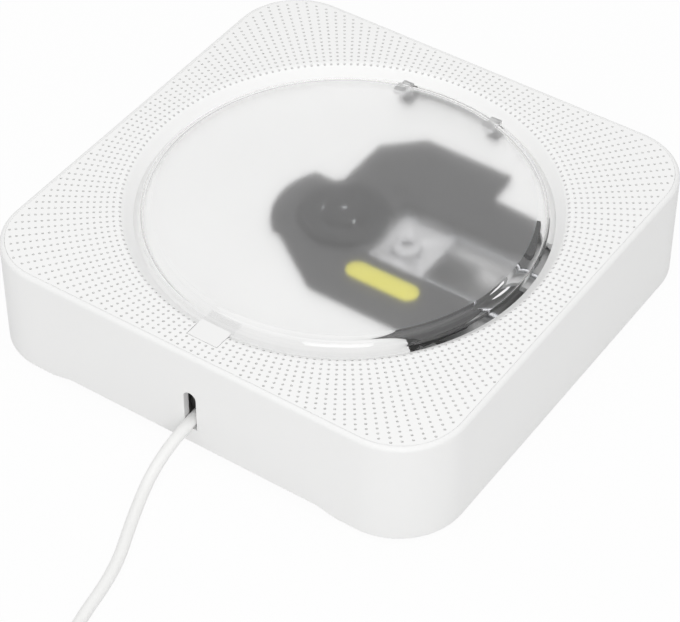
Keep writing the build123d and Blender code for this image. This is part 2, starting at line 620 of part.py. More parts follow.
def speaker_grille():
    """Face panel with the dished collar round the lid and the pocket of the finger tab."""
    half = SIDE / 2 - RIM_WIDTH - PANEL_GAP
    panel = plate(square_outline(half, CORNER_RADIUS - RIM_WIDTH - PANEL_GAP), PANEL_BOTTOM, FACE)
    panel -= rod(PANEL_HOLE, PANEL_BOTTOM - CUT, FACE + CUT)
    slope_top, slope_foot = (DISH_TOP_RADIUS, FACE), (WELL_RADIUS, DISH_FOOT)
    shift = DISH_SAG / hypot(DISH_RUN, DISH_DEPTH)
    middle = (WELL_RADIUS + DISH_RUN / 2 + shift * DISH_DEPTH, DISH_FOOT + DISH_DEPTH / 2 - shift * DISH_RUN)
    panel += revolve(curved_outline(
        ThreePointArc(slope_top, middle, slope_foot),
        Polyline(slope_foot, (WELL_RADIUS, LIP_BOTTOM), (WELL_RADIUS + COLLAR_WALL, LIP_BOTTOM),
                 (PANEL_HOLE, PANEL_BOTTOM), (PANEL_HOLE, FACE), slope_top)), Axis.Z)
    pocket_floor = FACE - GRIP_THICKNESS - TONGUE_THICKNESS - GRIP_GAP
    pocket_half, pocket_end = GRIP_WIDTH / 2 + GRIP_GAP, -GRIP_REACH - GRIP_GAP
    pocket = slab(-pocket_half, pocket_half, pocket_end, -SKIRT_INNER, pocket_floor, FACE + CUT)
    tray = slab(-pocket_half - TRAY_WALL, pocket_half + TRAY_WALL, pocket_end - TRAY_WALL,
                -DISH_TOP_RADIUS - CUT, pocket_floor - TRAY_FLOOR, PANEL_BOTTOM + LAP)
    return panel + tray - pocket


def rear_cover():
    """Back plate with keyholes, vents and posts for the drive and the boards."""
    half = INNER_HALF - REAR_GAP
    low, high = REAR_BOTTOM - CUT, REAR_TOP + CUT
    cover = plate(square_outline(half, INNER_CORNER - REAR_GAP), REAR_BOTTOM, REAR_TOP)
    for x, y in POSTS:
        cover -= rod(SCREW_RADIUS + SCREW_CLEARANCE, low, high, x, y)
        cover -= rod(SCREW_HEAD_RADIUS + SCREW_CLEARANCE, low, REAR_BOTTOM + SCREW_SEAT, x, y)
    for x in (-KEYHOLE_X, KEYHOLE_X):
        top = KEYHOLE_Y + KEYHOLE_RISE
        cover -= rod(KEYHOLE_RADIUS, low, high, x, KEYHOLE_Y)
        cover -= slab(x - KEYHOLE_SLOT, x + KEYHOLE_SLOT, KEYHOLE_Y, top, low, high)
        cover -= rod(KEYHOLE_SLOT, low, high, x, top)
    for row in range(VENT_COUNT):
        y = VENT_START - VENT_PITCH * row
        cover -= slab(-VENT_HALF, VENT_HALF, y - VENT_WIDTH, y, low, high)
    bore, tip = DAMPER_SCREW_RADIUS + FIXED_GAP, CHASSIS_BOTTOM - DAMPER_SCREW_DEPTH
    for x, y in DAMPERS:
        cover += rod(DAMPER_POST_RADIUS, REAR_TOP - LAP, CHASSIS_BOTTOM - DAMPER_FLANGE, x, y)
        cover -= rod(bore, tip, CHASSIS_BOTTOM, x, y)
    for x, y in BOARD_POSTS:
        cover += rod(BOARD_POST_RADIUS, REAR_TOP - LAP, BOARD_BOTTOM, x, y)
    for x in (-RIB_X, RIB_X):
        x0, x1 = x - RIB_THICKNESS / 2, x + RIB_THICKNESS / 2
        rib = slab(x0, x1, BUTTON_BOARD_Y - RIB_BEHIND, BUTTON_BOARD_Y + RIB_BEFORE, REAR_TOP - LAP,
                   REAR_TOP + RIB_HEIGHT)
        cover += rib - slab(x0 - CUT, x1 + CUT, BUTTON_BOARD_Y - RIB_PLAY,
                            BUTTON_BOARD_Y + BOARD_THICKNESS + RIB_PLAY, BUTTON_BOARD_BOTTOM,
                            REAR_TOP + RIB_HEIGHT + CUT)
    return cover


def case_screws():
    """Four screws from the back into the posts of the walls."""
    shank, seat = SCREW_RADIUS - FIXED_GAP, REAR_BOTTOM + SCREW_SEAT
    return [rod(SCREW_HEAD_RADIUS, REAR_BOTTOM + SCREW_SUNK, seat, x, y)
            + rod(shank, seat, REAR_TOP + SCREW_GRIP, x, y) for x, y in POSTS]


def rubber_feet():
    return [rod(FOOT_RADIUS, 0, REAR_BOTTOM, x, y) for x, y in FEET]


# ---------------------------------------------------------------- well and lid
def well_lug(side, y):
    """Lug from the wall of the well to a screw post."""
    x0, x1 = span(side, WELL_RADIUS / 2, POST_X + POST_RADIUS)
    lug = slab(x0, x1, y - POST_RADIUS, y + POST_RADIUS, FLOOR_BOTTOM, FLOOR_TOP)
    lug -= rod(WELL_RADIUS + WELL_WALL / 2, FLOOR_BOTTOM - CUT, FACE)
    return lug - rod(SCREW_RADIUS + SCREW_CLEARANCE, FLOOR_BOTTOM - CUT, FLOOR_TOP + CUT, side * POST_X, y)


def hinge_ear(side):
    """Ear outside the wall of the well that holds one end of the pin."""
    x0, x1 = span(side, WINDOW_HALF + EAR_GAP, WINDOW_HALF + EAR_GAP + EAR_THICKNESS)
    far = HINGE_Y + ARM_HUB_RADIUS
    ear = slab(x0, x1, WELL_RADIUS / 2, far, FLOOR_BOTTOM, LIP_BOTTOM)
    ear -= rod(WELL_RADIUS + WELL_WALL / 2, FLOOR_BOTTOM - CUT, FACE)
    ear += slab(x0, x1, HINGE_Y - ARM_HUB_RADIUS, far, FLOOR_BOTTOM, HINGE_Z + EAR_CROWN)
    return ear - rod_x(PIN_RADIUS + FIXED_GAP, x0 - CUT, x1 + CUT, HINGE_Y, HINGE_Z)


def disc_well():
    """White moulded well: floor, upright wall, bay for the drive, hinge window and ears."""
    fillet_middle = (WELL_RADIUS - FLOOR_FILLET, FLOOR_TOP + FLOOR_FILLET)
    well = revolve(curved_outline(
        Polyline((fillet_middle[0], FLOOR_TOP), (0, FLOOR_TOP), (0, FLOOR_BOTTOM), (WELL_OUTER, FLOOR_BOTTOM),
                 (WELL_OUTER, LIP_BOTTOM), (WELL_RADIUS, LIP_BOTTOM), (WELL_RADIUS, fillet_middle[1])),
        arc_about(fillet_middle, FLOOR_FILLET, 0, -90)), Axis.Z)
    well -= plate(polygon(BAY) + Circle(PLATTER_RADIUS + BAY_MARGIN), FLOOR_BOTTOM - CUT, FACE)
    well -= slab(-WINDOW_HALF, WINDOW_HALF, WELL_RADIUS / 2, WELL_OUTER + CUT, FLOOR_TOP + WINDOW_SILL, FACE)
    arm_low = HINGE_Y - ARM_OUTER_RADIUS - ARM_GAP
    for side in (-1, 1):
        x0, x1 = span(side, ARM_X - ARM_WIDTH / 2 - ARM_GAP, ARM_X + ARM_WIDTH / 2 + ARM_GAP)
        well -= slab(x0, x1, arm_low, WELL_OUTER + CUT, FLOOR_BOTTOM - CUT, FACE)
        well += hinge_ear(side) + well_lug(side, -POST_Y) + well_lug(side, POST_Y)
    return well


def well_screws():
    """Four screws through the lugs of the well into the tops of the posts."""
    shank = SCREW_RADIUS - FIXED_GAP
    return [rod(SCREW_HEAD_RADIUS, FLOOR_TOP, FLOOR_TOP + SCREW_HEAD, x, y)
            + rod(shank, FLOOR_BOTTOM - SCREW_GRIP, FLOOR_TOP, x, y) for x, y in POSTS]


def dust_cover():
    """Clear lid: flat top, rounded edge, skirt, tongue for the finger tab."""
    centre = (LID_RADIUS - LID_ROUND, LID_TOP - LID_ROUND)
    bevel = LID_ROUND - LID_THICKNESS
    lid = revolve(curved_outline(
        arc_about(centre, LID_ROUND, 90, 0),
        Polyline((LID_RADIUS, centre[1]), (LID_RADIUS, SKIRT_BOTTOM), (SKIRT_INNER, SKIRT_BOTTOM),
                 (SKIRT_INNER, LID_UNDER - bevel), (SKIRT_INNER - bevel, LID_UNDER), (0, LID_UNDER),
                 (0, LID_TOP), (centre[0], LID_TOP))), Axis.Z)
    tongue_top = FACE - GRIP_THICKNESS
    lid += slab(-GRIP_WIDTH / 2, GRIP_WIDTH / 2, -GRIP_REACH, -SKIRT_INNER - TONGUE_ROOT,
                tongue_top - TONGUE_THICKNESS, tongue_top)
    for side in (-1, 1):
        x0, x1 = span(side, ARM_X - ARM_WIDTH / 2 - GRIP_GAP, ARM_X + ARM_WIDTH / 2 + GRIP_GAP)
        lid -= slab(x0, x1, LID_RADIUS - ARM_FOOT, LID_RADIUS + CUT, SKIRT_BOTTOM - CUT, LID_UNDER)
    return lid


def lid_grip():
    """White finger tab on the lid's tongue."""
    return slab(-GRIP_WIDTH / 2, GRIP_WIDTH / 2, -GRIP_REACH, -GRIP_REACH + GRIP_LENGTH,
                FACE - GRIP_THICKNESS, FACE)


def lid_hinge_arms():
    """Two swan necks that carry the lid round the lip of the well to the pin."""
    start, end = radians(ARM_START), radians(ARM_END)

    def at(radius, angle):
        return (radius * cos(angle), radius * sin(angle))

    neck = make_face([arc_about((0, 0), ARM_OUTER_RADIUS, ARM_START, ARM_END),
                      Line(at(ARM_OUTER_RADIUS, end), at(ARM_INNER_RADIUS, end)),
                      arc_about((0, 0), ARM_INNER_RADIUS, ARM_END, ARM_START),
                      Line(at(ARM_INNER_RADIUS, start), at(ARM_OUTER_RADIUS, start))])
    reach = ARM_INNER_RADIUS + ARM_THICKNESS / 2
    spoke = Rot(0, 0, ARM_END) * Pos(reach / 2, 0) * Rectangle(reach, ARM_SPOKE)
    foot_start, foot_end = LID_RADIUS - ARM_FOOT - HINGE_Y, ARM_INNER_RADIUS * cos(start)
    foot_middle = Pos((foot_start + foot_end) / 2, LID_UNDER - HINGE_Z - ARM_THICKNESS / 2)
    foot = foot_middle * Rectangle(foot_end - foot_start, ARM_THICKNESS)
    shape = neck + spoke + foot + Circle(ARM_HUB_RADIUS) - Circle(PIN_RADIUS + RUNNING_GAP)
    planes = [Plane((side * ARM_X - ARM_WIDTH / 2, HINGE_Y, HINGE_Z), x_dir=(0, 1, 0), z_dir=(1, 0, 0))
              for side in (-1, 1)]
    return [extrude(plane * shape, ARM_WIDTH) for plane in planes]


def hinge_pin():
    reach = WINDOW_HALF + EAR_GAP + EAR_THICKNESS
    return rod_x(PIN_RADIUS, -reach, reach, HINGE_Y, HINGE_Z)


# ---------------------------------------------------------------- disc drive
def deck_cover():
    """Dark cover plate round the turntable, open where the pickup runs."""
    lobe_x, lobe_y, lobe_length, lobe_width = LOBE
    outline = polygon(DECK) & Circle(WELL_RADIUS - FLOOR_FILLET - DECK_WALL_GAP)
    outline += Circle(DECK_LOBE_RADIUS) & (Pos(lobe_x, lobe_y) * Rectangle(lobe_length, lobe_width))
    start = PLATTER_RADIUS - WINDOW_LAP
    window = Pos((start + WINDOW_END) / 2, (WINDOW_TOP + WINDOW_BOTTOM) / 2)
    outline -= window * Rectangle(WINDOW_END - start, WINDOW_TOP - WINDOW_BOTTOM)
    outline -= Circle(PLATTER_RADIUS + DECK_HOLE_GAP)
    recess, top = DECK_TOP - DECK_RECESS, DECK_TOP + CUT
    eye_x, eye_y, eye_radius = DECK_EYE
    deck = plate(outline, FLOOR_TOP, DECK_TOP) - rod(eye_radius, recess, top, eye_x, eye_y)
    return deck - slab(*DECK_NOTCH, recess, top)


def blank_label():
    """Plain yellow label on the deck, without print."""
    outline = Pos(*LABEL_PLACE) * SlotOverall(LABEL_LENGTH, LABEL_WIDTH)
    return plate(outline, DECK_TOP, DECK_TOP + LABEL_THICKNESS)


def turntable():
    """Platter and spigot on the spindle, with three ball pockets."""
    boss_bottom, groove, hub = CHASSIS_TOP + BOSS_GAP, SEAT - PAD_THICKNESS, SEAT - PAD_SEAT
    bore, pad_inner = SHAFT_RADIUS + FIXED_GAP, PLATTER_RADIUS - PAD_WIDTH
    body = turned([(bore, boss_bottom), (BOSS_RADIUS, boss_bottom), (BOSS_RADIUS, PLATTER_UNDER),
                   (PLATTER_RADIUS, PLATTER_UNDER), (PLATTER_RADIUS, groove), (pad_inner, groove),
                   (pad_inner, hub), (SPIGOT_RADIUS, hub), (SPIGOT_RADIUS, SPIGOT_TOP - SPIGOT_SLOPE_HEIGHT),
                   (SPIGOT_RADIUS - SPIGOT_SLOPE_WIDTH, SPIGOT_TOP), (bore, SPIGOT_TOP)])
    deepest = BALL_OFFSET - BALL_RADIUS - BALL_TRAVEL - BALL_SPARE
    for turn in BALL_TURNS:
        body -= Rot(0, 0, turn) * rod_x(BALL_RADIUS + RUNNING_GAP, deepest, SPIGOT_RADIUS + CUT, 0, BALL_Z)
    return body


def clamp_ball(turn):
    return Rot(0, 0, turn) * Pos(BALL_OFFSET, 0, BALL_Z) * Sphere(BALL_RADIUS)


def disc_pad():
    inner = PLATTER_RADIUS - PAD_WIDTH + FIXED_GAP
    low = SEAT - PAD_THICKNESS
    return turned([(inner, low), (PLATTER_RADIUS, low), (PLATTER_RADIUS, SEAT), (inner, SEAT)])


def spindle_shaft():
    return rod(SHAFT_RADIUS, MOTOR_BOTTOM + SHAFT_FOOT, SPIGOT_TOP - SHAFT_SHORT)


def spindle_motor():
    """Flat can motor under the chassis, with its bearing bush."""
    bore, floor = SHAFT_RADIUS + RUNNING_GAP, MOTOR_BOTTOM + MOTOR_FLOOR
    bush_top = CHASSIS_TOP + BUSH_PROUD
    return turned([(0, MOTOR_BOTTOM), (MOTOR_RADIUS - MOTOR_EDGE, MOTOR_BOTTOM),
                   (MOTOR_RADIUS, MOTOR_BOTTOM + MOTOR_EDGE), (MOTOR_RADIUS, CHASSIS_BOTTOM),
                   (BUSH_RADIUS, CHASSIS_BOTTOM), (BUSH_RADIUS, bush_top), (bore, bush_top),
                   (bore, floor), (0, floor)])


def rod_blocks(y, radius):
    """Two blocks on the chassis that hold the ends of a guide rod."""
    half, top = radius + ROD_CHEEK, ROD_Z + radius + ROD_CROWN
    blocks = slab(ROD_START, ROD_START + ROD_BLOCK, y - half, y + half, CHASSIS_TOP - LAP, top)
    blocks += slab(ROD_END - ROD_BLOCK, ROD_END, y - half, y + half, CHASSIS_TOP - LAP, top)
    return blocks - rod_x(radius + FIXED_GAP, ROD_START + ROD_STOP, ROD_END - ROD_STOP, y, ROD_Z)


def gear_shelf():
    """Tray under the feed gears that carries their motor and axle."""
    reach, low, high = FEED_CAN_RADIUS + FEED_CAN_MARGIN, SHELF_BOTTOM - CUT, SHELF_TOP + CUT
    left, right = GEAR_X - BIG_RADIUS - GEAR_SHELF_SIDE, PINION_X + reach
    near, far = PINION_Y - reach, GEAR_Y + GEAR_SHELF_FAR
    shelf = slab(left, right, near, far, SHELF_BOTTOM, SHELF_TOP)
    for x in (left, right - GEAR_SHELF):
        shelf += slab(x, x + GEAR_SHELF, BASE_EDGE, far, SHELF_BOTTOM, CHASSIS_BOTTOM + LAP)
    shelf -= rod(FEED_BUSH_RADIUS + FIXED_GAP, low, high, PINION_X, PINION_Y)
    return shelf - rod(AXLE_RADIUS + FIXED_GAP, low, high, GEAR_X, GEAR_Y)


def mechanism_chassis():
    """Black frame that carries the motors, the rods and the feed gear."""
    low, high = CHASSIS_BOTTOM - CUT, CHASSIS_TOP + CUT
    outline = Pos(BASE_X, BASE_Y) * RectangleRounded(BASE_LENGTH, BASE_WIDTH, BASE_CORNER)
    frame = plate(outline, CHASSIS_BOTTOM, CHASSIS_TOP)
    frame += rod_blocks(MAIN_ROD_Y, ROD_RADIUS) + rod_blocks(SIDE_ROD_Y, SIDE_ROD_RADIUS)
    frame -= rod(BUSH_RADIUS + FIXED_GAP, low, high)
    near, far = MAIN_ROD_Y + OPENING_MARGIN, SIDE_ROD_Y - OPENING_MARGIN
    frame -= slab(OPENING_START, OPENING_END, near, far, low, high)
    frame -= rod(GEAR_HUB_RADIUS + GEAR_GAP, low, high, GEAR_X, GEAR_Y)
    frame += gear_shelf()
    for x, y in DAMPERS:
        frame -= rod(DAMPER_NECK + DAMPER_PLAY, low, high, x, y)
    return frame


def rubber_dampers():
    """Grommets between the chassis and the posts of the rear cover."""
    low, high = CHASSIS_BOTTOM - DAMPER_FLANGE, CHASSIS_TOP + DAMPER_FLANGE
    ring = turned([(DAMPER_BORE, low), (DAMPER_RADIUS, low), (DAMPER_RADIUS, CHASSIS_BOTTOM),
                   (DAMPER_NECK, CHASSIS_BOTTOM), (DAMPER_NECK, CHASSIS_TOP), (DAMPER_RADIUS, CHASSIS_TOP),
                   (DAMPER_RADIUS, high), (DAMPER_BORE, high)])
    return [Pos(x, y, 0) * ring for x, y in DAMPERS]


def damper_screws():
    seat = CHASSIS_TOP + DAMPER_FLANGE
    tip = CHASSIS_BOTTOM - DAMPER_SCREW_DEPTH
    return [rod(DAMPER_HEAD_RADIUS, seat, seat + DAMPER_HEAD, x, y)
            + rod(DAMPER_SCREW_RADIUS, tip, seat, x, y) for x, y in DAMPERS]


def rack_outline(near):
    """Straight rack in mesh with the small gear at rest, long enough for the whole travel."""
    pitch = pi * RACK_MODULE
    root, tip = RACK_Y + DEDENDUM * RACK_MODULE, RACK_Y - ADDENDUM * RACK_MODULE
    before = int(LENS_TRAVEL / pitch) + 2
    start, stop = GEAR_X - (before + 0.5) * pitch, GEAR_X + RACK_SPARE * pitch
    points = [(start, near), (start, root)]
    for tooth in range(-before, int(RACK_SPARE) + 1):
        middle = GEAR_X + tooth * pitch
        points += [(middle - ROOT_SHARE * pitch, root), (middle - TIP_SHARE * pitch, tip),
                   (middle + TIP_SHARE * pitch, tip), (middle + ROOT_SHARE * pitch, root)]
    return polygon(points + [(stop, root), (stop, near)])


def pickup_sled():
    """Optical block on two rods, with the rack along its edge."""
    x0, x1 = LENS_REST - SLED_BACK, LENS_REST + SLED_FRONT
    top, near = ROD_Z + SLED_TOP, MAIN_ROD_Y - SLED_CHEEK
    body = slab(x0, x1, near, SIDE_ROD_Y - SLED_SHORT, CHASSIS_TOP + SLED_GAP, top)
    body -= rod_x(ROD_RADIUS + RUNNING_GAP, x0 - CUT, x1 + CUT, MAIN_ROD_Y, ROD_Z)
    fork = SIDE_ROD_RADIUS + RUNNING_GAP
    for z in (ROD_Z + fork, ROD_Z - fork - FORK_LIP):
        body += slab(LENS_REST - FORK_START, LENS_REST + FORK_END, SIDE_ROD_Y - SLED_SHORT - LAP,
                     SIDE_ROD_Y + FORK_REACH, z, z + FORK_LIP)
    body -= rod(LENS_WELL_RADIUS, ROD_Z + LENS_WELL_FLOOR, top + CUT, LENS_REST, 0)
    return body + plate(rack_outline(near + RACK_LAP), SMALL_GEAR_BOTTOM, SMALL_GEAR_TOP)


def lens_holder():
    bore, shoulder, top = LENS_RADIUS + FIXED_GAP, ROD_Z + HOLDER_SHOULDER, ROD_Z + HOLDER_TOP
    foot = ROD_Z + HOLDER_FOOT
    ring = turned([(bore, foot), (HOLDER_RADIUS, foot), (HOLDER_RADIUS, shoulder),
                   (HOLDER_RADIUS - HOLDER_BEVEL, top), (bore, top)])
    return Pos(LENS_REST, 0, 0) * ring


def objective_lens():
    low = ROD_Z + LENS_FOOT
    shape = turned([(0, low), (LENS_RADIUS, low), (LENS_RADIUS, low + LENS_EDGE),
                    (LENS_CROWN_RADIUS, low + LENS_SHOULDER), (0, low + LENS_HEIGHT)])
    return Pos(LENS_REST, 0, 0) * shape


def guide_rod(y, radius):
    inset = ROD_STOP + ROD_SHORT
    return rod_x(radius, ROD_START + inset, ROD_END - inset, y, ROD_Z)


def feed_gear():
    """Large gear under the chassis and small gear at the rack, on one hub."""
    big = plate(gear_outline(GEAR_MODULE, BIG_TEETH), BIG_GEAR_BOTTOM, BIG_GEAR_TOP)
    small = plate(gear_outline(RACK_MODULE, SMALL_TEETH, 90 + 180 / SMALL_TEETH),
                  SMALL_GEAR_BOTTOM, SMALL_GEAR_TOP)
    hub = rod(GEAR_HUB_RADIUS, BIG_GEAR_BOTTOM, SMALL_GEAR_BOTTOM + GEAR_HUB_LAP)
    gear = big + small + hub - rod(AXLE_RADIUS + RUNNING_GAP, SHELF_TOP, SMALL_GEAR_TOP + CUT)
    return Pos(GEAR_X, GEAR_Y, 0) * gear


def feed_pinion():
    """Pinion on the feed motor's shaft, turned so that a gap takes the gear's nearest tooth."""
    step = 360 / PINION_TEETH
    teeth_along = PINION_TURN * BIG_TEETH / 360
    phase = (teeth_along - round(teeth_along)) * step
    outline = gear_outline(GEAR_MODULE, PINION_TEETH, PINION_TURN + 180 + step / 2 + phase)
    pinion = plate(outline, BIG_GEAR_BOTTOM, BIG_GEAR_TOP)
    shaft = rod(PINION_SHAFT_RADIUS, SHELF_TOP - PINION_SHAFT_FOOT, BIG_GEAR_TOP)
    return Pos(PINION_X, PINION_Y, 0) * (pinion + shaft)


def feed_axle():
    return rod(AXLE_RADIUS, SHELF_BOTTOM, SMALL_GEAR_TOP + AXLE_PROUD, GEAR_X, GEAR_Y)


def feed_motor():
    can = rod(FEED_CAN_RADIUS, SHELF_BOTTOM - FEED_CAN_HEIGHT, SHELF_BOTTOM)
    can += rod(FEED_BUSH_RADIUS, SHELF_BOTTOM - LAP, SHELF_TOP - FEED_BUSH_SHORT)
    depth = PINION_SHAFT_FOOT + PINION_SHAFT_SPARE
    can -= rod(PINION_SHAFT_RADIUS + RUNNING_GAP, SHELF_TOP - depth, SHELF_TOP + CUT)
    return Pos(PINION_X, PINION_Y, 0) * can


# ---------------------------------------------------------------- boards, buttons, speakers
def main_board():
    return slab(BOARD_LEFT, BOARD_RIGHT, BOARD_NEAR, BOARD_FAR, BOARD_BOTTOM, BOARD_TOP)


def board_components():
    """Chips, capacitors and the socket of the flat cable on the main board."""
    parts = [slab(BOARD_LEFT + x0, BOARD_LEFT + x1, BOARD_Y + y0, BOARD_Y + y1, BOARD_TOP, BOARD_TOP + height)
             for x0, x1, y0, y1, height in CHIPS]
    parts += [rod(CAPACITOR_RADIUS, BOARD_TOP, BOARD_TOP + CAPACITOR_HEIGHT, BOARD_LEFT + x,
                  BOARD_Y + CAPACITOR_Y)
              for x in CAPACITOR_X]
    middle, half = BOARD_Y + SOCKET_Y, FLEX_WIDTH / 2
    return parts + [slab(SOCKET_END - SOCKET_LENGTH, SOCKET_END, middle - half, middle + half,
                         BOARD_TOP, BOARD_TOP + SOCKET_HEIGHT)]


def flex_cable():
    """Flat cable from the chassis down to its socket on the board."""
    half, start = FLEX_THICKNESS / 2, BOARD_TOP + SOCKET_HEIGHT
    low_x, high_x = SOCKET_END - FLEX_INSET, BASE_LEFT + FLEX_END
    line = [(low_x, start), (low_x, start + FLEX_RISE), (high_x, CHASSIS_BOTTOM - FLEX_DROP),
            (high_x, CHASSIS_BOTTOM)]
    points = [(x - half, z) for x, z in line] + [(x + half, z) for x, z in reversed(line)]
    ribbon = extrude(make_face(Plane.XZ * Polyline(*points, close=True)), FLEX_WIDTH)
    return Pos(0, BOARD_Y + SOCKET_Y + FLEX_WIDTH / 2, 0) * ribbon


def button_board():
    half = RIB_X + BUTTON_BOARD_MARGIN
    return slab(-half, half, BUTTON_BOARD_Y, BUTTON_BOARD_Y + BOARD_THICKNESS, BUTTON_BOARD_BOTTOM,
                BUTTON_Z + BUTTON_BOARD_RISE)


def tact_switches():
    """One switch with its plunger behind each button."""
    half, back, front = TACT_SIDE / 2, BUTTON_BOARD_Y + BOARD_THICKNESS, PLUNGER_END - TACT_STROKE
    return [slab(x - half, x + half, back, front, BUTTON_Z - half, BUTTON_Z + half)
            + rod_y(TACT_PLUNGER_RADIUS, front - TACT_LAP, PLUNGER_END, x, BUTTON_Z) for x in BUTTONS]


def push_button(x):
    """Cap that stands out of the wall, with a flange inside."""
    outline = SlotOverall(BUTTON_WIDTH, BUTTON_HEIGHT)
    cap = extrude(facing_rear(x, BUTTON_END) * outline, BUTTON_STEM + WALL + BUTTON_PROUD)
    cap = fillet(cap.faces().sort_by(Axis.Y)[-1].edges(), BUTTON_ROUND)
    brim = SlotOverall(BUTTON_WIDTH + 2 * BUTTON_FLANGE, BUTTON_HEIGHT + 2 * BUTTON_FLANGE)
    return cap + extrude(facing_rear(x, INNER_HALF - BUTTON_PLAY - BUTTON_FLANGE) * brim, BUTTON_FLANGE)


def headphone_jack():
    """Socket for a 3.5 mm plug, its sleeve in the wall."""
    half, back = JACK_SIDE / 2, INNER_HALF - JACK_LENGTH
    box = slab(JACK_X - half, JACK_X + half, back, INNER_HALF, BUTTON_Z - half, BUTTON_Z + half)
    box += rod_y(JACK_SLEEVE, INNER_HALF - LAP, SIDE / 2 - JACK_INSET, JACK_X, BUTTON_Z)
    box -= rod_y(JACK_RADIUS, back + JACK_END_WALL, SIDE / 2 + CUT, JACK_X, BUTTON_Z)
    stand_half, stand_back = half - JACK_STAND_MARGIN, back + JACK_STAND_MARGIN
    return box + slab(JACK_X - stand_half, JACK_X + stand_half, stand_back, stand_back + JACK_STAND_LENGTH,
                      REAR_TOP, BUTTON_Z - half)


def at_speaker(side, shape):
    return Pos(side * SPEAKER_XY, -SPEAKER_XY, 0) * shape


def speaker_basket(side):
    """Pressed frame, fixed under the panel."""
    ring_inner, ring_bottom = SPEAKER_RADIUS - BASKET_LAND, PANEL_BOTTOM - BASKET_RING
    bottom, hole = PANEL_BOTTOM - SPEAKER_DEPTH, MAGNET_RADIUS - BASKET_HOLE
    ring = turned([(ring_inner, ring_bottom), (SPEAKER_RADIUS, ring_bottom), (SPEAKER_RADIUS, PANEL_BOTTOM),
                   (ring_inner, PANEL_BOTTOM)])
    cup = turned([(hole, bottom), (MAGNET_RADIUS, bottom), (ring_inner + BASKET_SHEET, ring_bottom),
                  (ring_inner, ring_bottom), (MAGNET_RADIUS - BASKET_SHEET, bottom + BASKET_SHEET),
                  (hole, bottom + BASKET_SHEET)])
    return at_speaker(side, ring + cup)


def speaker_cone(side):
    """Cone with its flat surround and the cap in the middle."""
    top = PANEL_BOTTOM - CONE_GAP
    under, neck = top - CONE_EDGE, top - CONE_DEPTH
    edge = SPEAKER_RADIUS - BASKET_LAND - CONE_EDGE_GAP
    return at_speaker(side, turned([
        (0, neck), (CONE_NECK, neck), (edge - CONE_SURROUND, under), (edge, under), (edge, top),
        (edge - CONE_SURROUND_TOP, top), (CONE_NECK, neck + CONE_SHEET), (0, neck + CONE_SHEET + DUST_CAP)]))


def speaker_magnet(side):
    top = PANEL_BOTTOM - SPEAKER_DEPTH
    return at_speaker(side, rod(MAGNET_RADIUS, top - MAGNET_DEPTH, top))


# ---------------------------------------------------------------- pull switch and cord
def switch_bracket():
    """Channel on the rear cover that guides the slider."""
    x0, x1 = SLOT_X - BRACKET_WIDTH / 2, SLOT_X + BRACKET_WIDTH / 2
    top, floor = CORD_EXIT_Z + BRACKET_CROWN, REAR_TOP + BRACKET_FLOOR
    channel = slab(x0, x1, BRACKET_FRONT, BRACKET_END, REAR_TOP, top)
    return channel - slab(x0 + BRACKET_WALL, x1 - BRACKET_WALL, BRACKET_FRONT - CUT, SPRING_END, floor,
                          top + CUT)


def pull_slider():
    """Block that the cord pulls forward by a few millimetres."""
    half = SLIDER_WIDTH / 2
    return slab(SLOT_X - half, SLOT_X + half, SLIDER_FRONT, SLIDER_BACK,
                REAR_TOP + BRACKET_FLOOR + RUNNING_GAP, CORD_EXIT_Z + SLIDER_CROWN)


def return_spring():
    sleeve = rod_y(SPRING_RADIUS, SLIDER_BACK + SPRING_GAP, SPRING_END, SLOT_X, CORD_EXIT_Z)
    return sleeve - rod_y(SPRING_BORE, SLIDER_BACK - CUT, SPRING_END + CUT, SLOT_X, CORD_EXIT_Z)


def pull_switch():
    """Small switch beside the bracket."""
    left, front = SLOT_X + BRACKET_WIDTH / 2 + SWITCH_GAP, SLIDER_FRONT + SWITCH_BEHIND
    return slab(left, left + SWITCH_WIDTH, front, front + SWITCH_LENGTH, REAR_TOP, CORD_EXIT_Z - SWITCH_UNDER)


def cord_ferrule():
    """Moulded end of the cord, seated on the slider."""
    outline = Polyline((0, 0), (CORD_DIAMETER / 2 + FERRULE_LAP, 0), (FERRULE_RADIUS, FERRULE_TAPER),
                       (FERRULE_RADIUS, FERRULE_LENGTH), (0, FERRULE_LENGTH), close=True)
    return Pos(SLOT_X, CORD_START_Y, CORD_EXIT_Z) * revolve(make_face(outline), Axis.Y)


def corner_radii(points):
    """Each arc as large as its two runs allow."""
    radii = []
    for before, here, after in zip(points, points[1:], points[2:]):
        a, b = Vector(*here) - Vector(*before), Vector(*after) - Vector(*here)
        turn = radians(a.get_angle(b))
        radii.append(RUN_SHARE * min(a.length, b.length) / tan(turn / 2))
    return radii


def tube(path):
    """A faceted round section swept along a path."""
    start = Plane(origin=path @ 0, z_dir=path % 0, x_dir=(path % 0).cross(Vector(0, 0, 1)))
    return sweep(start * RegularPolygon(CORD_DIAMETER / 2, CORD_SIDES), path)


def report_tube(name, path, solid):
    """Print how a tube's volume agrees with its section times its length."""
    section = CORD_SIDES / 2 * (CORD_DIAMETER / 2) ** 2 * sin(2 * pi / CORD_SIDES)
    print("%s: length %.1f, volume %.1f, section times length %.1f"
          % (name, path.length, solid.volume, section * path.length))


def power_cord():
    """Free stretch of straight runs and tangent arcs."""
    radii = corner_radii(CORD_ROUTE)
    path = FilletPolyline(*CORD_ROUTE, radius=radii)
    solid = tube(path)
    print("cord radii", [round(radius, 1) for radius in radii])
    report_tube("free cord", path, solid)
    return solid


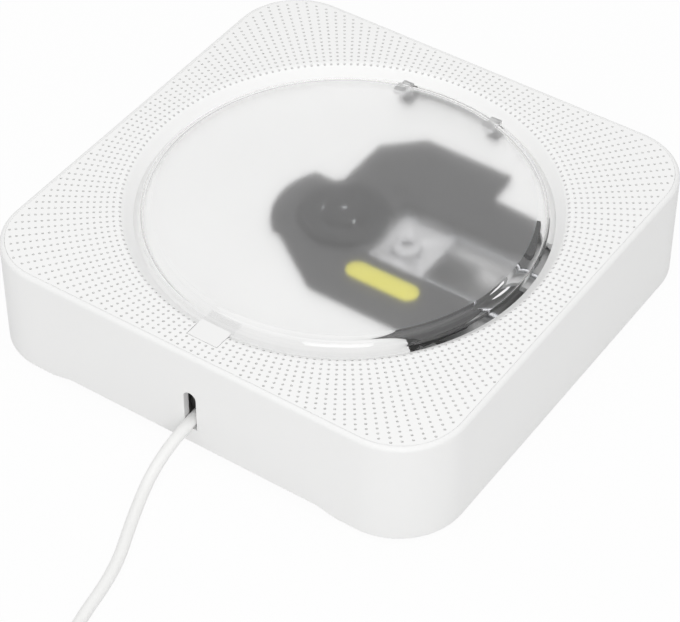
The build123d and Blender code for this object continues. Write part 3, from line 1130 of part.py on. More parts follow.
def coil_places():
    """Where the coil passes its middle line, and which way it runs there.

    The lower layer winds in, one half turn climbs, and the upper layer winds out again.
    """
    end = Vector(*CORD_ROUTE[-1])
    along = (end - Vector(*CORD_ROUTE[-2])).normalized()
    out = Vector(along.Y, -along.X, 0)
    widest = COIL_INNER + COIL_PITCH * (COIL_TRACKS - 1)
    centre = end + along * CORD_DIAMETER - out * widest
    lift = Vector(0, 0, COIL_PITCH)
    places = []
    for track in range(COIL_TRACKS):
        radius = widest - COIL_PITCH * track
        places += [(centre + out * radius, along), (centre - out * radius, along * -1)]
    for track in range(COIL_TRACKS - 1):
        near, far = COIL_INNER + COIL_PITCH * (track - 1), COIL_INNER + COIL_PITCH * (track + 1)
        places += [(centre + out * near + lift, along), (centre - out * far + lift, along * -1)]
    reach = CORD_DIAMETER + PLUG_RELIEF + PLUG_LENGTH
    last = centre - out * (widest + COIL_PITCH) + lift
    tilt = asin((last.Z - PLUG_THICKNESS / 2) / reach)
    places[-1] = (last, along * -cos(tilt) - Vector(0, 0, sin(tilt)))
    return places


def half_turn(start, end):
    """Two arcs that join two places with their directions, meeting on the way."""
    (p0, d0), (p1, d1) = start, end
    chord, both = p1 - p0, d0 + d1
    spread = 2 * (1 - d0.dot(d1))
    along = chord.dot(both)
    reach = (sqrt(along * along + spread * chord.dot(chord)) - along) / spread
    middle = (p0 + d0 * reach + p1 - d1 * reach) * 0.5
    onward = p1 - d1 * reach - p0 - d0 * reach
    return [TangentArc(p0, middle, tangent=d0), TangentArc(middle, p1, tangent=onward)]


def least_self_gap(path):
    """Smallest gap between turns, measured on points along the path."""
    step = CORD_DIAMETER / 2
    count = int(path.length / step)
    points = [path @ (i / count) for i in range(count + 1)]
    apart = 8
    return min((a - b).length for i, a in enumerate(points) for b in points[i + apart:]) - CORD_DIAMETER


def cord_coil():
    """Spare cord wound flat in two layers, from the end of the free stretch to the plug."""
    places = coil_places()
    edges = [Line(CORD_ROUTE[-1], places[0][0])]
    for start, end in zip(places, places[1:]):
        edges += half_turn(start, end)
    last, direction = places[-1]
    path = Wire(edges + [Line(last, last + direction * CORD_DIAMETER)])
    solid = tube(path)
    report_tube("coil", path, solid)
    print("least gap between turns %.2f" % least_self_gap(path))
    return solid


def plug_frame():
    """Plane at the end of the coil that looks along the plug."""
    last, direction = coil_places()[-1]
    return Plane(last + direction * CORD_DIAMETER, x_dir=direction.cross(Vector(0, 0, 1)), z_dir=direction)


def plug_grip():
    """Moulded plug with its tapered relief, lying down from the last turn."""
    small, large = CORD_DIAMETER / 2 + RELIEF_LAP, PLUG_THICKNESS / 2 - RELIEF_STEP
    relief = turned([(0, 0), (small, 0), (large, PLUG_RELIEF), (0, PLUG_RELIEF)])
    outline = RectangleRounded(PLUG_WIDTH, PLUG_THICKNESS, PLUG_ROUND)
    start = plug_frame()
    return start * relief + extrude(start.offset(PLUG_RELIEF) * outline, PLUG_LENGTH)


def plug_shell():
    """Flat metal shell with an open slot."""
    slot = Pos(0, SHELL_SLOT_LIFT) * Rectangle(SHELL_WIDTH - 2 * SHELL_SHEET, SHELL_SLOT)
    outline = Rectangle(SHELL_WIDTH, SHELL_THICKNESS) - slot
    return extrude(plug_frame().offset(PLUG_RELIEF + PLUG_LENGTH) * outline, SHELL_LENGTH)


# ---------------------------------------------------------------- all nodes
PIECES = [outer_housing, control_strip, speaker_grille, rear_cover, rubber_feet, case_screws, disc_well,
          well_screws, dust_cover, lid_grip, lid_hinge_arms, hinge_pin, deck_cover, blank_label,
          turntable, disc_pad, spindle_shaft, spindle_motor, mechanism_chassis, rubber_dampers,
          damper_screws, pickup_sled, lens_holder, objective_lens, feed_gear, feed_pinion, feed_axle,
          feed_motor, main_board, board_components, flex_cable, button_board, tact_switches,
          headphone_jack, switch_bracket, pull_slider, return_spring, pull_switch, cord_ferrule,
          power_cord, cord_coil, plug_grip, plug_shell]
BUTTON_NAMES = ("volume_down", "volume_up", "track_back", "play", "track_forward")


def nodes():
    """Every node of the assembly under its name."""
    made = {make.__name__: make() for make in PIECES}
    made["main_guide_rod"] = guide_rod(MAIN_ROD_Y, ROD_RADIUS)
    made["side_guide_rod"] = guide_rod(SIDE_ROD_Y, SIDE_ROD_RADIUS)
    for number, turn in enumerate(BALL_TURNS, 1):
        made["clamp_ball_%d" % number] = clamp_ball(turn)
    for name, x in zip(BUTTON_NAMES, BUTTONS):
        made["button_" + name] = push_button(x)
    for name, side in (("left", -1), ("right", 1)):
        made["speaker_basket_" + name] = speaker_basket(side)
        made["speaker_cone_" + name] = speaker_cone(side)
        made["speaker_magnet_" + name] = speaker_magnet(side)
    return made


for name, shape in nodes().items():
    solids = shape if isinstance(shape, list) else [shape]
    export_step(Compound(children=[part.solid() if len(part.solids()) == 1 else part for part in solids]),
                "parts/%s.step" % name)
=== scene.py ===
# %% [markdown]
# # Dressing a wall mounted disc player
#
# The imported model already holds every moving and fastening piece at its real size.  This lesson
# gives those pieces their finish, and makes the shapes that only a fine mesh can show: the face
# with its two thousand small pits, the half frosted lid, the soft white cord.
#
# The player lies on its back.  +Z comes out of the lid side, -Y is the edge with the cord and +Y
# the edge with the lid's hinge.  Lengths below are metres once they are multiplied by MM.

# %% Start
import json
from math import cos, pi, radians, sin, sqrt

import bmesh
import bpy
import numpy as np
from mathutils import Matrix, Vector

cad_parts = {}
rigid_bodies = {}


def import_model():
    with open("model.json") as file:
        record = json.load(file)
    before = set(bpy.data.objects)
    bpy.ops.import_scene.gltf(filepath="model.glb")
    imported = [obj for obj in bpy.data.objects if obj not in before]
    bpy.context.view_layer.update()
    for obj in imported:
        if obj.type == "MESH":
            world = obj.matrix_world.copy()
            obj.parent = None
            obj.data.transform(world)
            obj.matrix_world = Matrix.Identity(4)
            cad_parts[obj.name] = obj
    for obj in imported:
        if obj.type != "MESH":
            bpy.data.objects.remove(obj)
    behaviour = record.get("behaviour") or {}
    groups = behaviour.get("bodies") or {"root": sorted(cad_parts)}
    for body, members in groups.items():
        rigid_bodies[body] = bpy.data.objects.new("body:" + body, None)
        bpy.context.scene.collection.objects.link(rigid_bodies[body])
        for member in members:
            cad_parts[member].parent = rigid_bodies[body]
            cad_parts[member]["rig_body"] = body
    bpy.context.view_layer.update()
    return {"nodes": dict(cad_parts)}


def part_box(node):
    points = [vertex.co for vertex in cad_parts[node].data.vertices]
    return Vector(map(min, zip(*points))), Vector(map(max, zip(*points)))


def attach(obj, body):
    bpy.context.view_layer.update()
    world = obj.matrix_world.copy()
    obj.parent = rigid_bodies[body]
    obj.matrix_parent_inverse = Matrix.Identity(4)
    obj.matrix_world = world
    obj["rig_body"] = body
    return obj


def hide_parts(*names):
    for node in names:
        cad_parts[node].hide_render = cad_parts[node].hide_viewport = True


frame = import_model()
MM = 0.001

# %% [markdown]
# ## Sizes from the frame
#
# Nothing here is guessed twice.  The case, the face panel and the lid are read from the packed
# nodes, and the few sizes that a box can't tell, such as a corner radius, are named once.

# %% Sizes
case_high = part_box("outer_housing")[1]
panel_low, panel_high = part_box("speaker_grille")
lid_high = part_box("dust_cover")[1]

FACE = case_high.z                       # height of the perforated face
PANEL_SWELL = 0.07 * MM                  # the panel is pressed in, so its seam all but closes
PANEL_HALF = panel_high.x + PANEL_SWELL  # half of the panel's side
PANEL_CORNER = 21.65 * MM + PANEL_SWELL
LID_RADIUS = lid_high.x
LID_TOP = lid_high.z
WELL_RADIUS = 68.6 * MM
DISH_FOOT = FACE - 3.6 * MM              # where the slope ends in an upright lip
LIP_BOTTOM = panel_low.z
print("case %.1f mm square, face at %.1f mm" % (2 * case_high.x / MM, FACE / MM))

# %% [markdown]
# ## The camera
#
# The photograph looks down on the player from the cord side and a little from the right, through
# a long lens.  A pinhole camera was fitted to the outline of the case, so the numbers are real
# ones: where it stands around the part, how high, how far, and what it looks at.

# %% Camera
AZIMUTH = radians(34.1912)
ELEVATION = radians(43.5004)
ROLL = radians(0.1136)
DISTANCE = 820.785 * MM
TARGET = Vector((16.258, -26.464, 21.0)) * MM
FOCAL_PIXELS = 2561.62
IMAGE_WIDTH = 680             # pixels
SENSOR_WIDTH = 36.0           # millimetres
NEAREST, FARTHEST = 0.05, 20.0


def make_camera():
    """Camera at target + back * distance, its axes turned by the roll about the line of sight."""
    back = Vector((sin(AZIMUTH) * cos(ELEVATION), -cos(AZIMUTH) * cos(ELEVATION), sin(ELEVATION)))
    level = (-back).cross(Vector((0, 0, 1))).normalized()
    upright = level.cross(-back).normalized()
    right = level * cos(ROLL) + upright * sin(ROLL)
    up = upright * cos(ROLL) - level * sin(ROLL)
    data = bpy.data.cameras.new("view")
    data.sensor_width = SENSOR_WIDTH
    data.lens = data.sensor_width * FOCAL_PIXELS / IMAGE_WIDTH
    data.clip_start, data.clip_end = NEAREST, FARTHEST
    camera = bpy.data.objects.new("view", data)
    place = Matrix((right, up, back)).transposed().to_4x4()
    place.translation = TARGET + back * DISTANCE
    camera.matrix_world = place
    bpy.context.scene.collection.objects.link(camera)
    bpy.context.scene.camera = camera
    return camera


print("lens %.1f mm" % make_camera().data.lens)

# %% [markdown]
# ## Shader maths in Python
#
# A material is a sum of small patterns.  Writing that sum as nodes by hand hides what it means,
# so one small class wraps a socket and lets the usual operators add the Math nodes.  The swapped
# forms let a plain number stand in front, as in 1 - mask.

# %% A number in a node tree


class Value:
    """A link from a socket.  Operators on it add Math nodes."""

    def __init__(self, tree, socket):
        self.tree, self.socket = tree, socket

    def maths(self, operation, other):
        return self.tree.node("ShaderNodeMath", {"operation": operation}, self, other).value()

    def swapped(self, operation, first):
        return self.tree.node("ShaderNodeMath", {"operation": operation}, first, self).value()

    def __add__(self, other):
        return self.maths("ADD", other)

    def __sub__(self, other):
        return self.maths("SUBTRACT", other)

    def __rsub__(self, first):
        return self.swapped("SUBTRACT", first)

    def __mul__(self, other):
        return self.maths("MULTIPLY", other)

    def __pow__(self, other):
        return self.maths("POWER", other)

    def __rpow__(self, first):
        return self.swapped("POWER", first)

    __radd__, __rmul__ = __add__, __mul__

    def above(self, edge, width):
        """0 below the edge, 1 above it, turning smoothly over the width."""
        smooth = {"interpolation_type": "SMOOTHSTEP"}
        ends = edge - width / 2, edge + width / 2
        return self.tree.node("ShaderNodeMapRange", smooth, self, *ends).value()


print("operators ready")

# %% [markdown]
# Every other node comes from one method.  It takes the node's type, then its settings, because a
# setting can change which sockets the node has, and then what goes into the live sockets, in
# order or by name.  Colours are blended by a Mix node, because a Math node would turn them grey.

# %% Nodes and trees


class Node:
    """A node of a tree, with its live outputs by number or by name."""

    def __init__(self, tree, node):
        self.tree, self.node = tree, node

    def value(self, name=0):
        live = [socket for socket in self.node.outputs if socket.enabled]
        return Value(self.tree, live[name] if isinstance(name, int) else self.node.outputs[name])


class Tree:
    """The node tree of one material, or of the world."""

    def __init__(self, owner, output="ShaderNodeOutputMaterial"):
        owner.use_nodes = True
        self.tree = owner.node_tree
        self.tree.nodes.clear()
        self.output = self.tree.nodes.new(output)

    def plug(self, target, value):
        if isinstance(value, Value):
            self.tree.links.new(value.socket, target)
        elif target.type == "RGBA" and isinstance(value, tuple):
            target.default_value = (*value, 1.0)
        else:
            target.default_value = value

    def node(self, kind, settings, *inputs, **named):
        """Add a node: its settings first, then its live inputs in order or by name."""
        made = self.tree.nodes.new(kind)
        for key, value in settings.items():
            setattr(made, key, value)
        live = [socket for socket in made.inputs if socket.enabled]
        for target, value in zip(live, inputs):
            self.plug(target, value)
        for name, value in named.items():
            self.plug(made.inputs[name.replace("_", " ")], value)
        return Node(self, made)

    def place(self):
        return self.node("ShaderNodeTexCoord", {}).value("Object")

    def noise(self, size, detail=2.0, roughness=0.5):
        """Noise from 0 to 1 whose features are about this size in metres."""
        made = self.node("ShaderNodeTexNoise", {}, Vector=self.place(), Scale=1.0 / size,
                         Detail=detail, Roughness=roughness)
        return made.value("Fac")

    def blend(self, share, first, second):
        """Colour that goes from first to second as share goes from 0 to 1."""
        return self.node("ShaderNodeMix", {"data_type": "RGBA"}, share, first, second).value()

    def bump(self, height, distance, strength):
        made = self.node("ShaderNodeBump", {}, Strength=strength, Distance=distance, Height=height)
        return made.value("Normal")

    def principled(self, **inputs):
        return self.node("ShaderNodeBsdfPrincipled", {}, **inputs).value("BSDF")

    def mix(self, share, first, second):
        """Shader that goes from first to second as share goes from 0 to 1."""
        return self.node("ShaderNodeMixShader", {}, share, first, second).value()

    def surface(self, shader):
        self.tree.links.new(shader.socket, self.output.inputs["Surface"])


def material(name):
    made = bpy.data.materials.new(name)
    return made, Tree(made)


print("shader helpers ready")

# %% [markdown]
# ## White mouldings
#
# The case is a fine matt white, the face a little smoother and brighter.  Moulded plastic is
# never quite one colour: a broad, faint drift of shade and a fine spark grain keep it from
# looking like paper.

# %% Plastics
SHADE_SIZE = 0.045            # metres from a lighter to a darker place
GRAIN_SHEEN = 0.10            # how much the grain changes the roughness


def moulded(name, colour, rough, grain=0.00022, depth=0.000012, drift=0.02, specular=0.45):
    """Moulded plastic: colour * (1 - drift * (1 - a broad noise)), and a fine grain that both
    lifts the surface by some microns and moves the roughness a little about its middle."""
    made, tree = material(name)
    fine = tree.noise(grain, detail=3.0, roughness=0.6)
    darker = tuple(part * (1.0 - drift) for part in colour)
    shade = tree.blend(tree.noise(SHADE_SIZE), darker, colour)
    tree.surface(tree.principled(
        Base_Color=shade, Roughness=rough + (fine - 0.5) * GRAIN_SHEEN,
        Specular_IOR_Level=specular, Normal=tree.bump(fine, depth, 0.6)))
    return made


case_white = moulded("case_white", (0.905, 0.905, 0.900), 0.52)
face_white = moulded("face_white", (0.945, 0.945, 0.940), 0.38, depth=0.000006)
# painted shade: the pits' floors are coloured darker than the face, in place of the shade that falls
# inside the pits
pit_painted_shade = moulded("pit_painted_shade", (0.62, 0.62, 0.615), 0.60)
well_white = moulded("well_white", (0.965, 0.965, 0.960), 0.30, depth=0.000005)
key_white = moulded("key_white", (0.90, 0.90, 0.895), 0.45)
grip_white = moulded("grip_white", (0.92, 0.92, 0.915), 0.35, depth=0.000005)
deck_black = moulded("deck_black", (0.056, 0.056, 0.057), 0.48, grain=0.0003, depth=0.00003,
                     drift=0.2)
chassis_grey = moulded("chassis_grey", (0.72, 0.72, 0.72), 0.32, drift=0.1, specular=0.8)
platter_black = moulded("platter_black", (0.010, 0.010, 0.011), 0.35, drift=0.1)
sled_grey = moulded("sled_grey", (0.62, 0.62, 0.63), 0.40, drift=0.1)
inner_grey = moulded("inner_grey", (0.62, 0.62, 0.61), 0.50)
nylon = moulded("nylon", (0.80, 0.79, 0.73), 0.35)
rubber = moulded("rubber", (0.022, 0.022, 0.022), 0.75, grain=0.0005, depth=0.00002, drift=0.2)
chip_black = moulded("chip_black", (0.018, 0.018, 0.018), 0.5, drift=0.1)
ferrite = moulded("ferrite", (0.06, 0.06, 0.065), 0.6, drift=0.2)
paper_cone = moulded("paper_cone", (0.035, 0.034, 0.033), 0.8, grain=0.0008, depth=0.00006,
                     drift=0.3)
cord_white = moulded("cord_white", (0.90, 0.90, 0.89), 0.50, grain=0.0004)
label_yellow = moulded("label_yellow", (0.80, 0.74, 0.09), 0.40, drift=0.03)
print("plastics", len(bpy.data.materials))

# %% [markdown]
# ## Metals, board and cable
#
# Rods and screws are bright steel with very fine streaks.  The rods run along X, and so do the
# streaks.  The motor cans are plated, the circuit boards carry a green mask over faint copper
# tracks, and a wave texture with a smooth threshold is enough for those.

# %% Metals and boards
STREAKS = (200.0, 6000.0, 6000.0)        # a streak is thirty times as long as it is wide
STREAK_SHEEN = 0.12                      # how much a streak changes the roughness
STREAK_DEPTH = 0.000003


def turned_metal(name, colour, rough):
    """Steel with fine streaks: noise stretched along X moves the roughness and lifts the surface."""
    made, tree = material(name)
    squash = tree.node("ShaderNodeMapping", {}, Vector=tree.place(), Scale=STREAKS).value()
    streaks = tree.node("ShaderNodeTexNoise", {}, Vector=squash, Scale=1.0, Detail=2.0).value("Fac")
    tree.surface(tree.principled(
        Base_Color=colour, Metallic=1.0, Roughness=rough + (streaks - 0.5) * STREAK_SHEEN,
        Normal=tree.bump(streaks, STREAK_DEPTH, 0.5)))
    return made


def masked_board(name):
    """Solder mask over tracks: bands of a wave texture, a little lighter than the ground."""
    made, tree = material(name)
    wave = tree.node("ShaderNodeTexWave", {}, Vector=tree.place(), Scale=260.0, Distortion=3.0,
                     Detail=1.0, Detail_Scale=0.6).value("Fac")
    tracks = wave.above(0.72, 0.08)
    colour = tree.blend(tracks, (0.012, 0.085, 0.030), (0.030, 0.160, 0.060))
    tree.surface(tree.principled(Base_Color=colour, Roughness=0.35, Coat_Weight=0.3))
    return made


steel = turned_metal("steel", (0.62, 0.63, 0.65), 0.28)
can_metal = turned_metal("can_metal", (0.56, 0.57, 0.58), 0.36)
plug_metal = turned_metal("plug_metal", (0.70, 0.70, 0.72), 0.22)
board_green = masked_board("board_green")
flat_cable = moulded("flat_cable", (0.66, 0.58, 0.36), 0.45)
pressed_metal = turned_metal("pressed_metal", (0.80, 0.80, 0.81), 0.42)
print("metals ready")

# %% [markdown]
# ## A glass for the lens, a frosted plastic for the lid
#
# The lid is one clear moulding.  Its flat top is frosted, so what lies under it goes soft and
# pale, and its rounded edge and skirt stay polished.  Frost does two things: it spreads the
# light that goes through, which is roughness on a transmitting shader, and it throws some of the
# light straight back, which is a thin white veil mixed over it.
#
# A bending surface alone would leave the well dark: a path tracer seldom finds a lamp through it.
# So the Light Path node lets shadow and bounce rays go straight through, and the well below is lit
# as it is under the real lid, while the camera still sees the bending and the frost.

# %% Clear plastics that bend light
VEIL = 0.085                  # share of light that the frost throws back
VEIL_GRAIN = 0.02             # how much that share wanders
VEIL_SPECK = 0.0006           # over how many metres
FROST_ROUGHNESS = 0.31
PLASTIC_IOR = 1.49


def clear_plastic(name, rough, veil):
    """Transmission, mixed with white by a share of veil + a little noise, and nothing in the way
    of shadow and bounce rays."""
    made, tree = material(name)
    body = tree.principled(Base_Color=(0.99, 0.99, 0.99), Roughness=rough, IOR=PLASTIC_IOR,
                           Transmission_Weight=1.0)
    if veil:
        white = tree.node("ShaderNodeBsdfDiffuse", {}, Color=(0.95, 0.95, 0.95)).value()
        body = tree.mix(veil + (tree.noise(VEIL_SPECK) - 0.5) * VEIL_GRAIN, body, white)
    path = tree.node("ShaderNodeLightPath", {})
    straight = path.value("Is Shadow Ray").maths("MAXIMUM", path.value("Is Diffuse Ray"))
    through = tree.node("ShaderNodeBsdfTransparent", {}, Color=(1.0, 1.0, 1.0)).value()
    tree.surface(tree.mix(straight, body, through))
    return made


lid_frost = clear_plastic("lid_frost", FROST_ROUGHNESS, VEIL)
lid_clear = clear_plastic("lid_clear", 0.03, 0.0)
lens_glass = clear_plastic("lens_glass", 0.02, 0.0)
print("bending plastics ready")

# %% [markdown]
# The skirt is a thin upright wall, and two bends so close together cancel: what is seen through it
# hardly shifts.  It is made the simpler way, see-through with a gloss that grows towards grazing
# angles.  Layer Weight's Facing gives the same value from both sides of a wall, where a Fresnel
# node would turn the inner side into a mirror.

# %% The clear skirt
STRAIGHT_GLOSS = ((PLASTIC_IOR - 1.0) / (PLASTIC_IOR + 1.0)) ** 2


def polished_edge(name):
    """Share of gloss = straight + (1 - straight) * facing ** 5, the short form of Fresnel's law."""
    made, tree = material(name)
    facing = tree.node("ShaderNodeLayerWeight", {}, Blend=0.5).value("Facing")
    share = STRAIGHT_GLOSS + facing ** 5.0 * (1.0 - STRAIGHT_GLOSS)
    gloss = tree.node("ShaderNodeBsdfGlossy", {}, Color=(1.0, 1.0, 1.0), Roughness=0.04).value()
    clear = tree.node("ShaderNodeBsdfTransparent", {}, Color=(0.985, 0.985, 0.985)).value()
    tree.surface(tree.mix(share, clear, gloss))
    return made


lid_edge = polished_edge("lid_edge")
print("skirt share of gloss seen straight on %.3f" % STRAIGHT_GLOSS)

# %% [markdown]
# ## Light, floor and background
#
# The photograph was taken in a light tent: white from every side, a little stronger from above,
# with hardly a shadow.  A white world does most of it.  Its strength as a light is set apart from
# its strength as a background, so that the background is white and the object isn't burnt out.

# %% The world
WORLD_LIGHT = 0.62
WHITE = (1.0, 1.0, 1.0)


def make_world():
    """Full white where the camera sees it, WORLD_LIGHT for every other ray."""
    world = bpy.data.worlds.new("tent")
    bpy.context.scene.world = world
    tree = Tree(world, "ShaderNodeOutputWorld")
    seen = tree.node("ShaderNodeBackground", {}, Color=WHITE, Strength=1.0).value()
    lit = tree.node("ShaderNodeBackground", {}, Color=WHITE, Strength=WORLD_LIGHT).value()
    direct = tree.node("ShaderNodeLightPath", {}).value("Is Camera Ray")
    tree.surface(tree.mix(direct, lit, seen))
    return world


print("world", make_world().name)

# %% [markdown]
# One wide soft lamp above lifts the face over the side walls.  A second one stands off the near
# corner, a little towards the cord, because the corner is the lightest place on the walls and the
# cord's wall comes next.

# %% The lamps
LAMPS = (                     # name, place, aim, side of the square in metres, watts
    ("overhead", (0.0, 0.0, 1.3), (0.0, 0.0, 0.0), 1.4, 5.6),
    ("near_corner", (0.75, -1.25, 0.75), (0.0, 0.0, 0.02), 0.9, 6.8),
)


def soft_lamp(name, place, aim, side, power):
    """A square lamp at a place, turned to an aim."""
    data = bpy.data.lights.new(name, "AREA")
    data.shape, data.size, data.energy = "SQUARE", side, power
    lamp = bpy.data.objects.new(name, data)
    lamp.location = place
    lamp.rotation_euler = (Vector(aim) - Vector(place)).to_track_quat("-Z", "Y").to_euler()
    bpy.context.scene.collection.objects.link(lamp)


for lamp in LAMPS:
    soft_lamp(*lamp)
print("lamps", len(LAMPS))

# %% [markdown]
# The ground is white too.  Rays that show it, straight from the camera or by way of gloss or clear
# plastic, see mostly a glow of its own, and the rest is matt, so a faint shadow stays on it.  All
# other rays see the matt ground alone, which keeps the glow off the object.

# %% The floor
FLOOR_REACH = 3.0
FLOOR_GLOW = 0.95             # share of the glow where the floor is seen


def make_floor():
    """One square, its shader matt + (glow - matt) * FLOOR_GLOW for the rays that show it."""
    corners = np.array([(-1, -1, 0), (1, -1, 0), (1, 1, 0), (-1, 1, 0)], float) * FLOOR_REACH
    mesh = bpy.data.meshes.new("ground")
    mesh.from_pydata(corners.tolist(), [], [(0, 1, 2, 3)])
    ground = bpy.data.objects.new("ground", mesh)
    bpy.context.scene.collection.objects.link(ground)
    made, tree = material("ground_white")
    matt = tree.node("ShaderNodeBsdfDiffuse", {}, Color=(0.80, 0.80, 0.80)).value()
    glow = tree.node("ShaderNodeEmission", {}, Color=WHITE, Strength=1.0).value()
    path = tree.node("ShaderNodeLightPath", {})
    direct = path.value("Is Camera Ray").maths("MAXIMUM", path.value("Is Glossy Ray"))
    direct = direct.maths("MAXIMUM", path.value("Is Transmission Ray"))
    tree.surface(tree.mix(direct * FLOOR_GLOW, matt, glow))
    mesh.materials.append(made)
    return ground


print("floor", make_floor().name)
bpy.context.scene.view_settings.view_transform = "Standard"

# %% [markdown]
# ## Meshes from arrays
#
# Every new shape below is a set of points worked out by numpy and a list of quads that only
# depends on how the points are counted.  The first helpers make such sets: the quads of a grid, a
# profile turned round Z, an arc for the round parts of a profile, and one that joins several sets.

# %% Points and quads


def grid_faces(rows, columns, wrap=False):
    """Quads of a grid of points stored row by row; wrap joins the last column to the first."""
    across = columns if wrap else columns - 1
    i, j = np.meshgrid(np.arange(rows - 1), np.arange(across), indexing="ij")
    i, j = i.ravel(), j.ravel()
    k = (j + 1) % columns
    return np.stack([i * columns + j, i * columns + k, (i + 1) * columns + k, (i + 1) * columns + j], 1)


def turned(profile, steps):
    """A profile of (r, z) carried round Z: point = (r cos t, r sin t, z)."""
    t = np.linspace(0, 2 * pi, steps, endpoint=False)
    r, z = np.asarray(profile, float).T
    points = np.stack([np.outer(r, np.cos(t)), np.outer(r, np.sin(t)), np.outer(z, np.ones(steps))], -1)
    return points.reshape(-1, 3), grid_faces(len(profile), steps, wrap=True)


def bend(centre, radius, start, end, count):
    """Arc about a centre: point = centre + radius * (cos t, sin t), with t in degrees."""
    t = np.radians(np.linspace(start, end, count))
    return np.stack([centre[0] + radius * np.cos(t), centre[1] + radius * np.sin(t)], 1)


def gather(*parts):
    """Joins (points, quads) parts, or loose quads given as points alone, into one set."""
    points, quads, count = [], [], 0
    for part in parts:
        p, q = part if isinstance(part, tuple) else (part, np.arange(len(part)).reshape(-1, 4))
        points.append(p)
        quads.append(q + count)
        count += len(p)
    return np.concatenate(points), np.concatenate(quads)


print("quads of a 3 x 3 grid", len(grid_faces(3, 3)))

# %% [markdown]
# The others hand a set to Blender.  Points that meet are welded, so that neighbouring strips become
# one skin, and the skin is shaded smooth except where it turns by more than a crease angle.

# %% Sets to objects
WELD = 0.0004 * MM            # points nearer than this become one


def weld(mesh):
    """Joins the points that lie closer together than WELD."""
    work = bmesh.new()
    work.from_mesh(mesh)
    bmesh.ops.remove_doubles(work, verts=work.verts, dist=WELD)
    work.to_mesh(mesh)
    work.free()


def sharpen(mesh, crease):
    """Smooth shading that stays crisp where two faces meet at more than the crease, in degrees."""
    mesh.polygons.foreach_set("use_smooth", np.full(len(mesh.polygons), True))
    mesh.set_sharp_from_angle(angle=radians(crease))


def build(name, points, quads, finishes, slots, body, crease):
    """One welded object from points in metres and quads, riding on a body."""
    mesh = bpy.data.meshes.new(name)
    mesh.vertices.add(len(points))
    mesh.vertices.foreach_set("co", np.asarray(points, np.float32).ravel())
    mesh.loops.add(quads.size)
    mesh.loops.foreach_set("vertex_index", quads.ravel().astype(np.int32))
    mesh.polygons.add(len(quads))
    mesh.polygons.foreach_set("loop_start", np.arange(0, quads.size, quads.shape[1], dtype=np.int32))
    mesh.polygons.foreach_set("material_index", np.asarray(slots, np.int32))
    mesh.update(calc_edges=True)
    mesh.validate()
    for finish in finishes:
        mesh.materials.append(finish)
    weld(mesh)
    sharpen(mesh, crease)
    piece = bpy.data.objects.new(name, mesh)
    bpy.context.scene.collection.objects.link(piece)
    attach(piece, body)
    return piece


print("points weld within %.4f mm" % (WELD / MM))

# %% [markdown]
# ## Smooth copies of the rigid pieces
#
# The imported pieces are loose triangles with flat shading, which shows on a rounded white corner.
# For each piece whose edges can be seen, a copy is welded, shaded smooth between its sharp edges
# and given a hair-thin bevel, because no moulding has a perfect edge and that thin round catches
# the light.

# %% Smooth copies
EDGE_ROUND = 0.12 * MM
EDGE_ANGLE = 30.0             # degrees; whatever turns by less is part of a curve


def smooth_copy(node, finish):
    """A welded, smooth-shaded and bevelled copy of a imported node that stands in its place."""
    source = frame["nodes"][node]
    mesh = source.data.copy()
    mesh.name = node + "_fine"
    mesh.materials.clear()
    mesh.materials.append(finish)
    weld(mesh)
    sharpen(mesh, EDGE_ANGLE)
    piece = bpy.data.objects.new(node + "_fine", mesh)
    bpy.context.scene.collection.objects.link(piece)
    rounding = piece.modifiers.new("edge", "BEVEL")
    rounding.width = EDGE_ROUND
    rounding.segments = 2
    rounding.limit_method = "ANGLE"
    rounding.angle_limit = radians(EDGE_ANGLE)
    rounding.harden_normals = True
    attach(piece, source["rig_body"])
    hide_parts(node)


BUTTONS = ("volume_down", "volume_up", "track_back", "play", "track_forward")
FINE = {
    "outer_housing": case_white, "control_strip": case_white, "rear_cover": case_white,
    "disc_well": well_white, "deck_cover": deck_black, "turntable": platter_black,
    "pickup_sled": pressed_metal, "mechanism_chassis": chassis_grey, "lid_grip": grip_white,
    "blank_label": label_yellow, "lid_hinge_arms": lid_frost, "lens_holder": sled_grey,
    **{"button_" + button: key_white for button in BUTTONS},
}
for node, finish in FINE.items():
    smooth_copy(node, finish)
print("smooth copies", len(FINE))

# %% [markdown]
# ## Finishes for the pieces that stay as they are
#
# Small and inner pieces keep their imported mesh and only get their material.

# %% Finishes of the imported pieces
PLAIN = {
    rubber: ("rubber_feet", "rubber_dampers"),
    platter_black: ("disc_pad",),
    steel: ("hinge_pin", "spindle_shaft", "clamp_ball_1", "clamp_ball_2", "clamp_ball_3",
            "main_guide_rod", "side_guide_rod", "feed_axle", "case_screws", "well_screws",
            "damper_screws", "return_spring"),
    can_metal: ("spindle_motor", "feed_motor", "speaker_basket_left", "speaker_basket_right"),
    ferrite: ("speaker_magnet_left", "speaker_magnet_right"),
    paper_cone: ("speaker_cone_left", "speaker_cone_right"),
    nylon: ("feed_gear", "feed_pinion"),
    lens_glass: ("objective_lens",),
    board_green: ("main_board", "button_board"),
    chip_black: ("board_components", "tact_switches", "pull_switch", "headphone_jack"),
    flat_cable: ("flex_cable",),
    inner_grey: ("switch_bracket", "pull_slider"),
    cord_white: ("cord_ferrule", "plug_grip"),
    plug_metal: ("plug_shell",),
}
for finish, names in PLAIN.items():
    for node in names:
        mesh = frame["nodes"][node].data
        mesh.materials.clear()
        mesh.materials.append(finish)
print("packed pieces finished", sum(len(names) for names in PLAIN.values()))

# %% [markdown]
# ## The perforated face
#
# The face has 200 spokes of small round pits, on 18 rings about the middle of the lid, cut off by
# the square outline.  A dotted colour would be simpler, but real pits catch the light on one side
# and lie in shade on the other, so they are geometry.  The face is laid out in polar cells, one to
# a pit: twelve points on the cell's border, twelve on the rim of the pit and twelve at its foot,
# joined by 24 quads, with five more for the pit's floor.  That is few enough for two thousand
# pits, and the cells share their borders, so the face has no cracks.

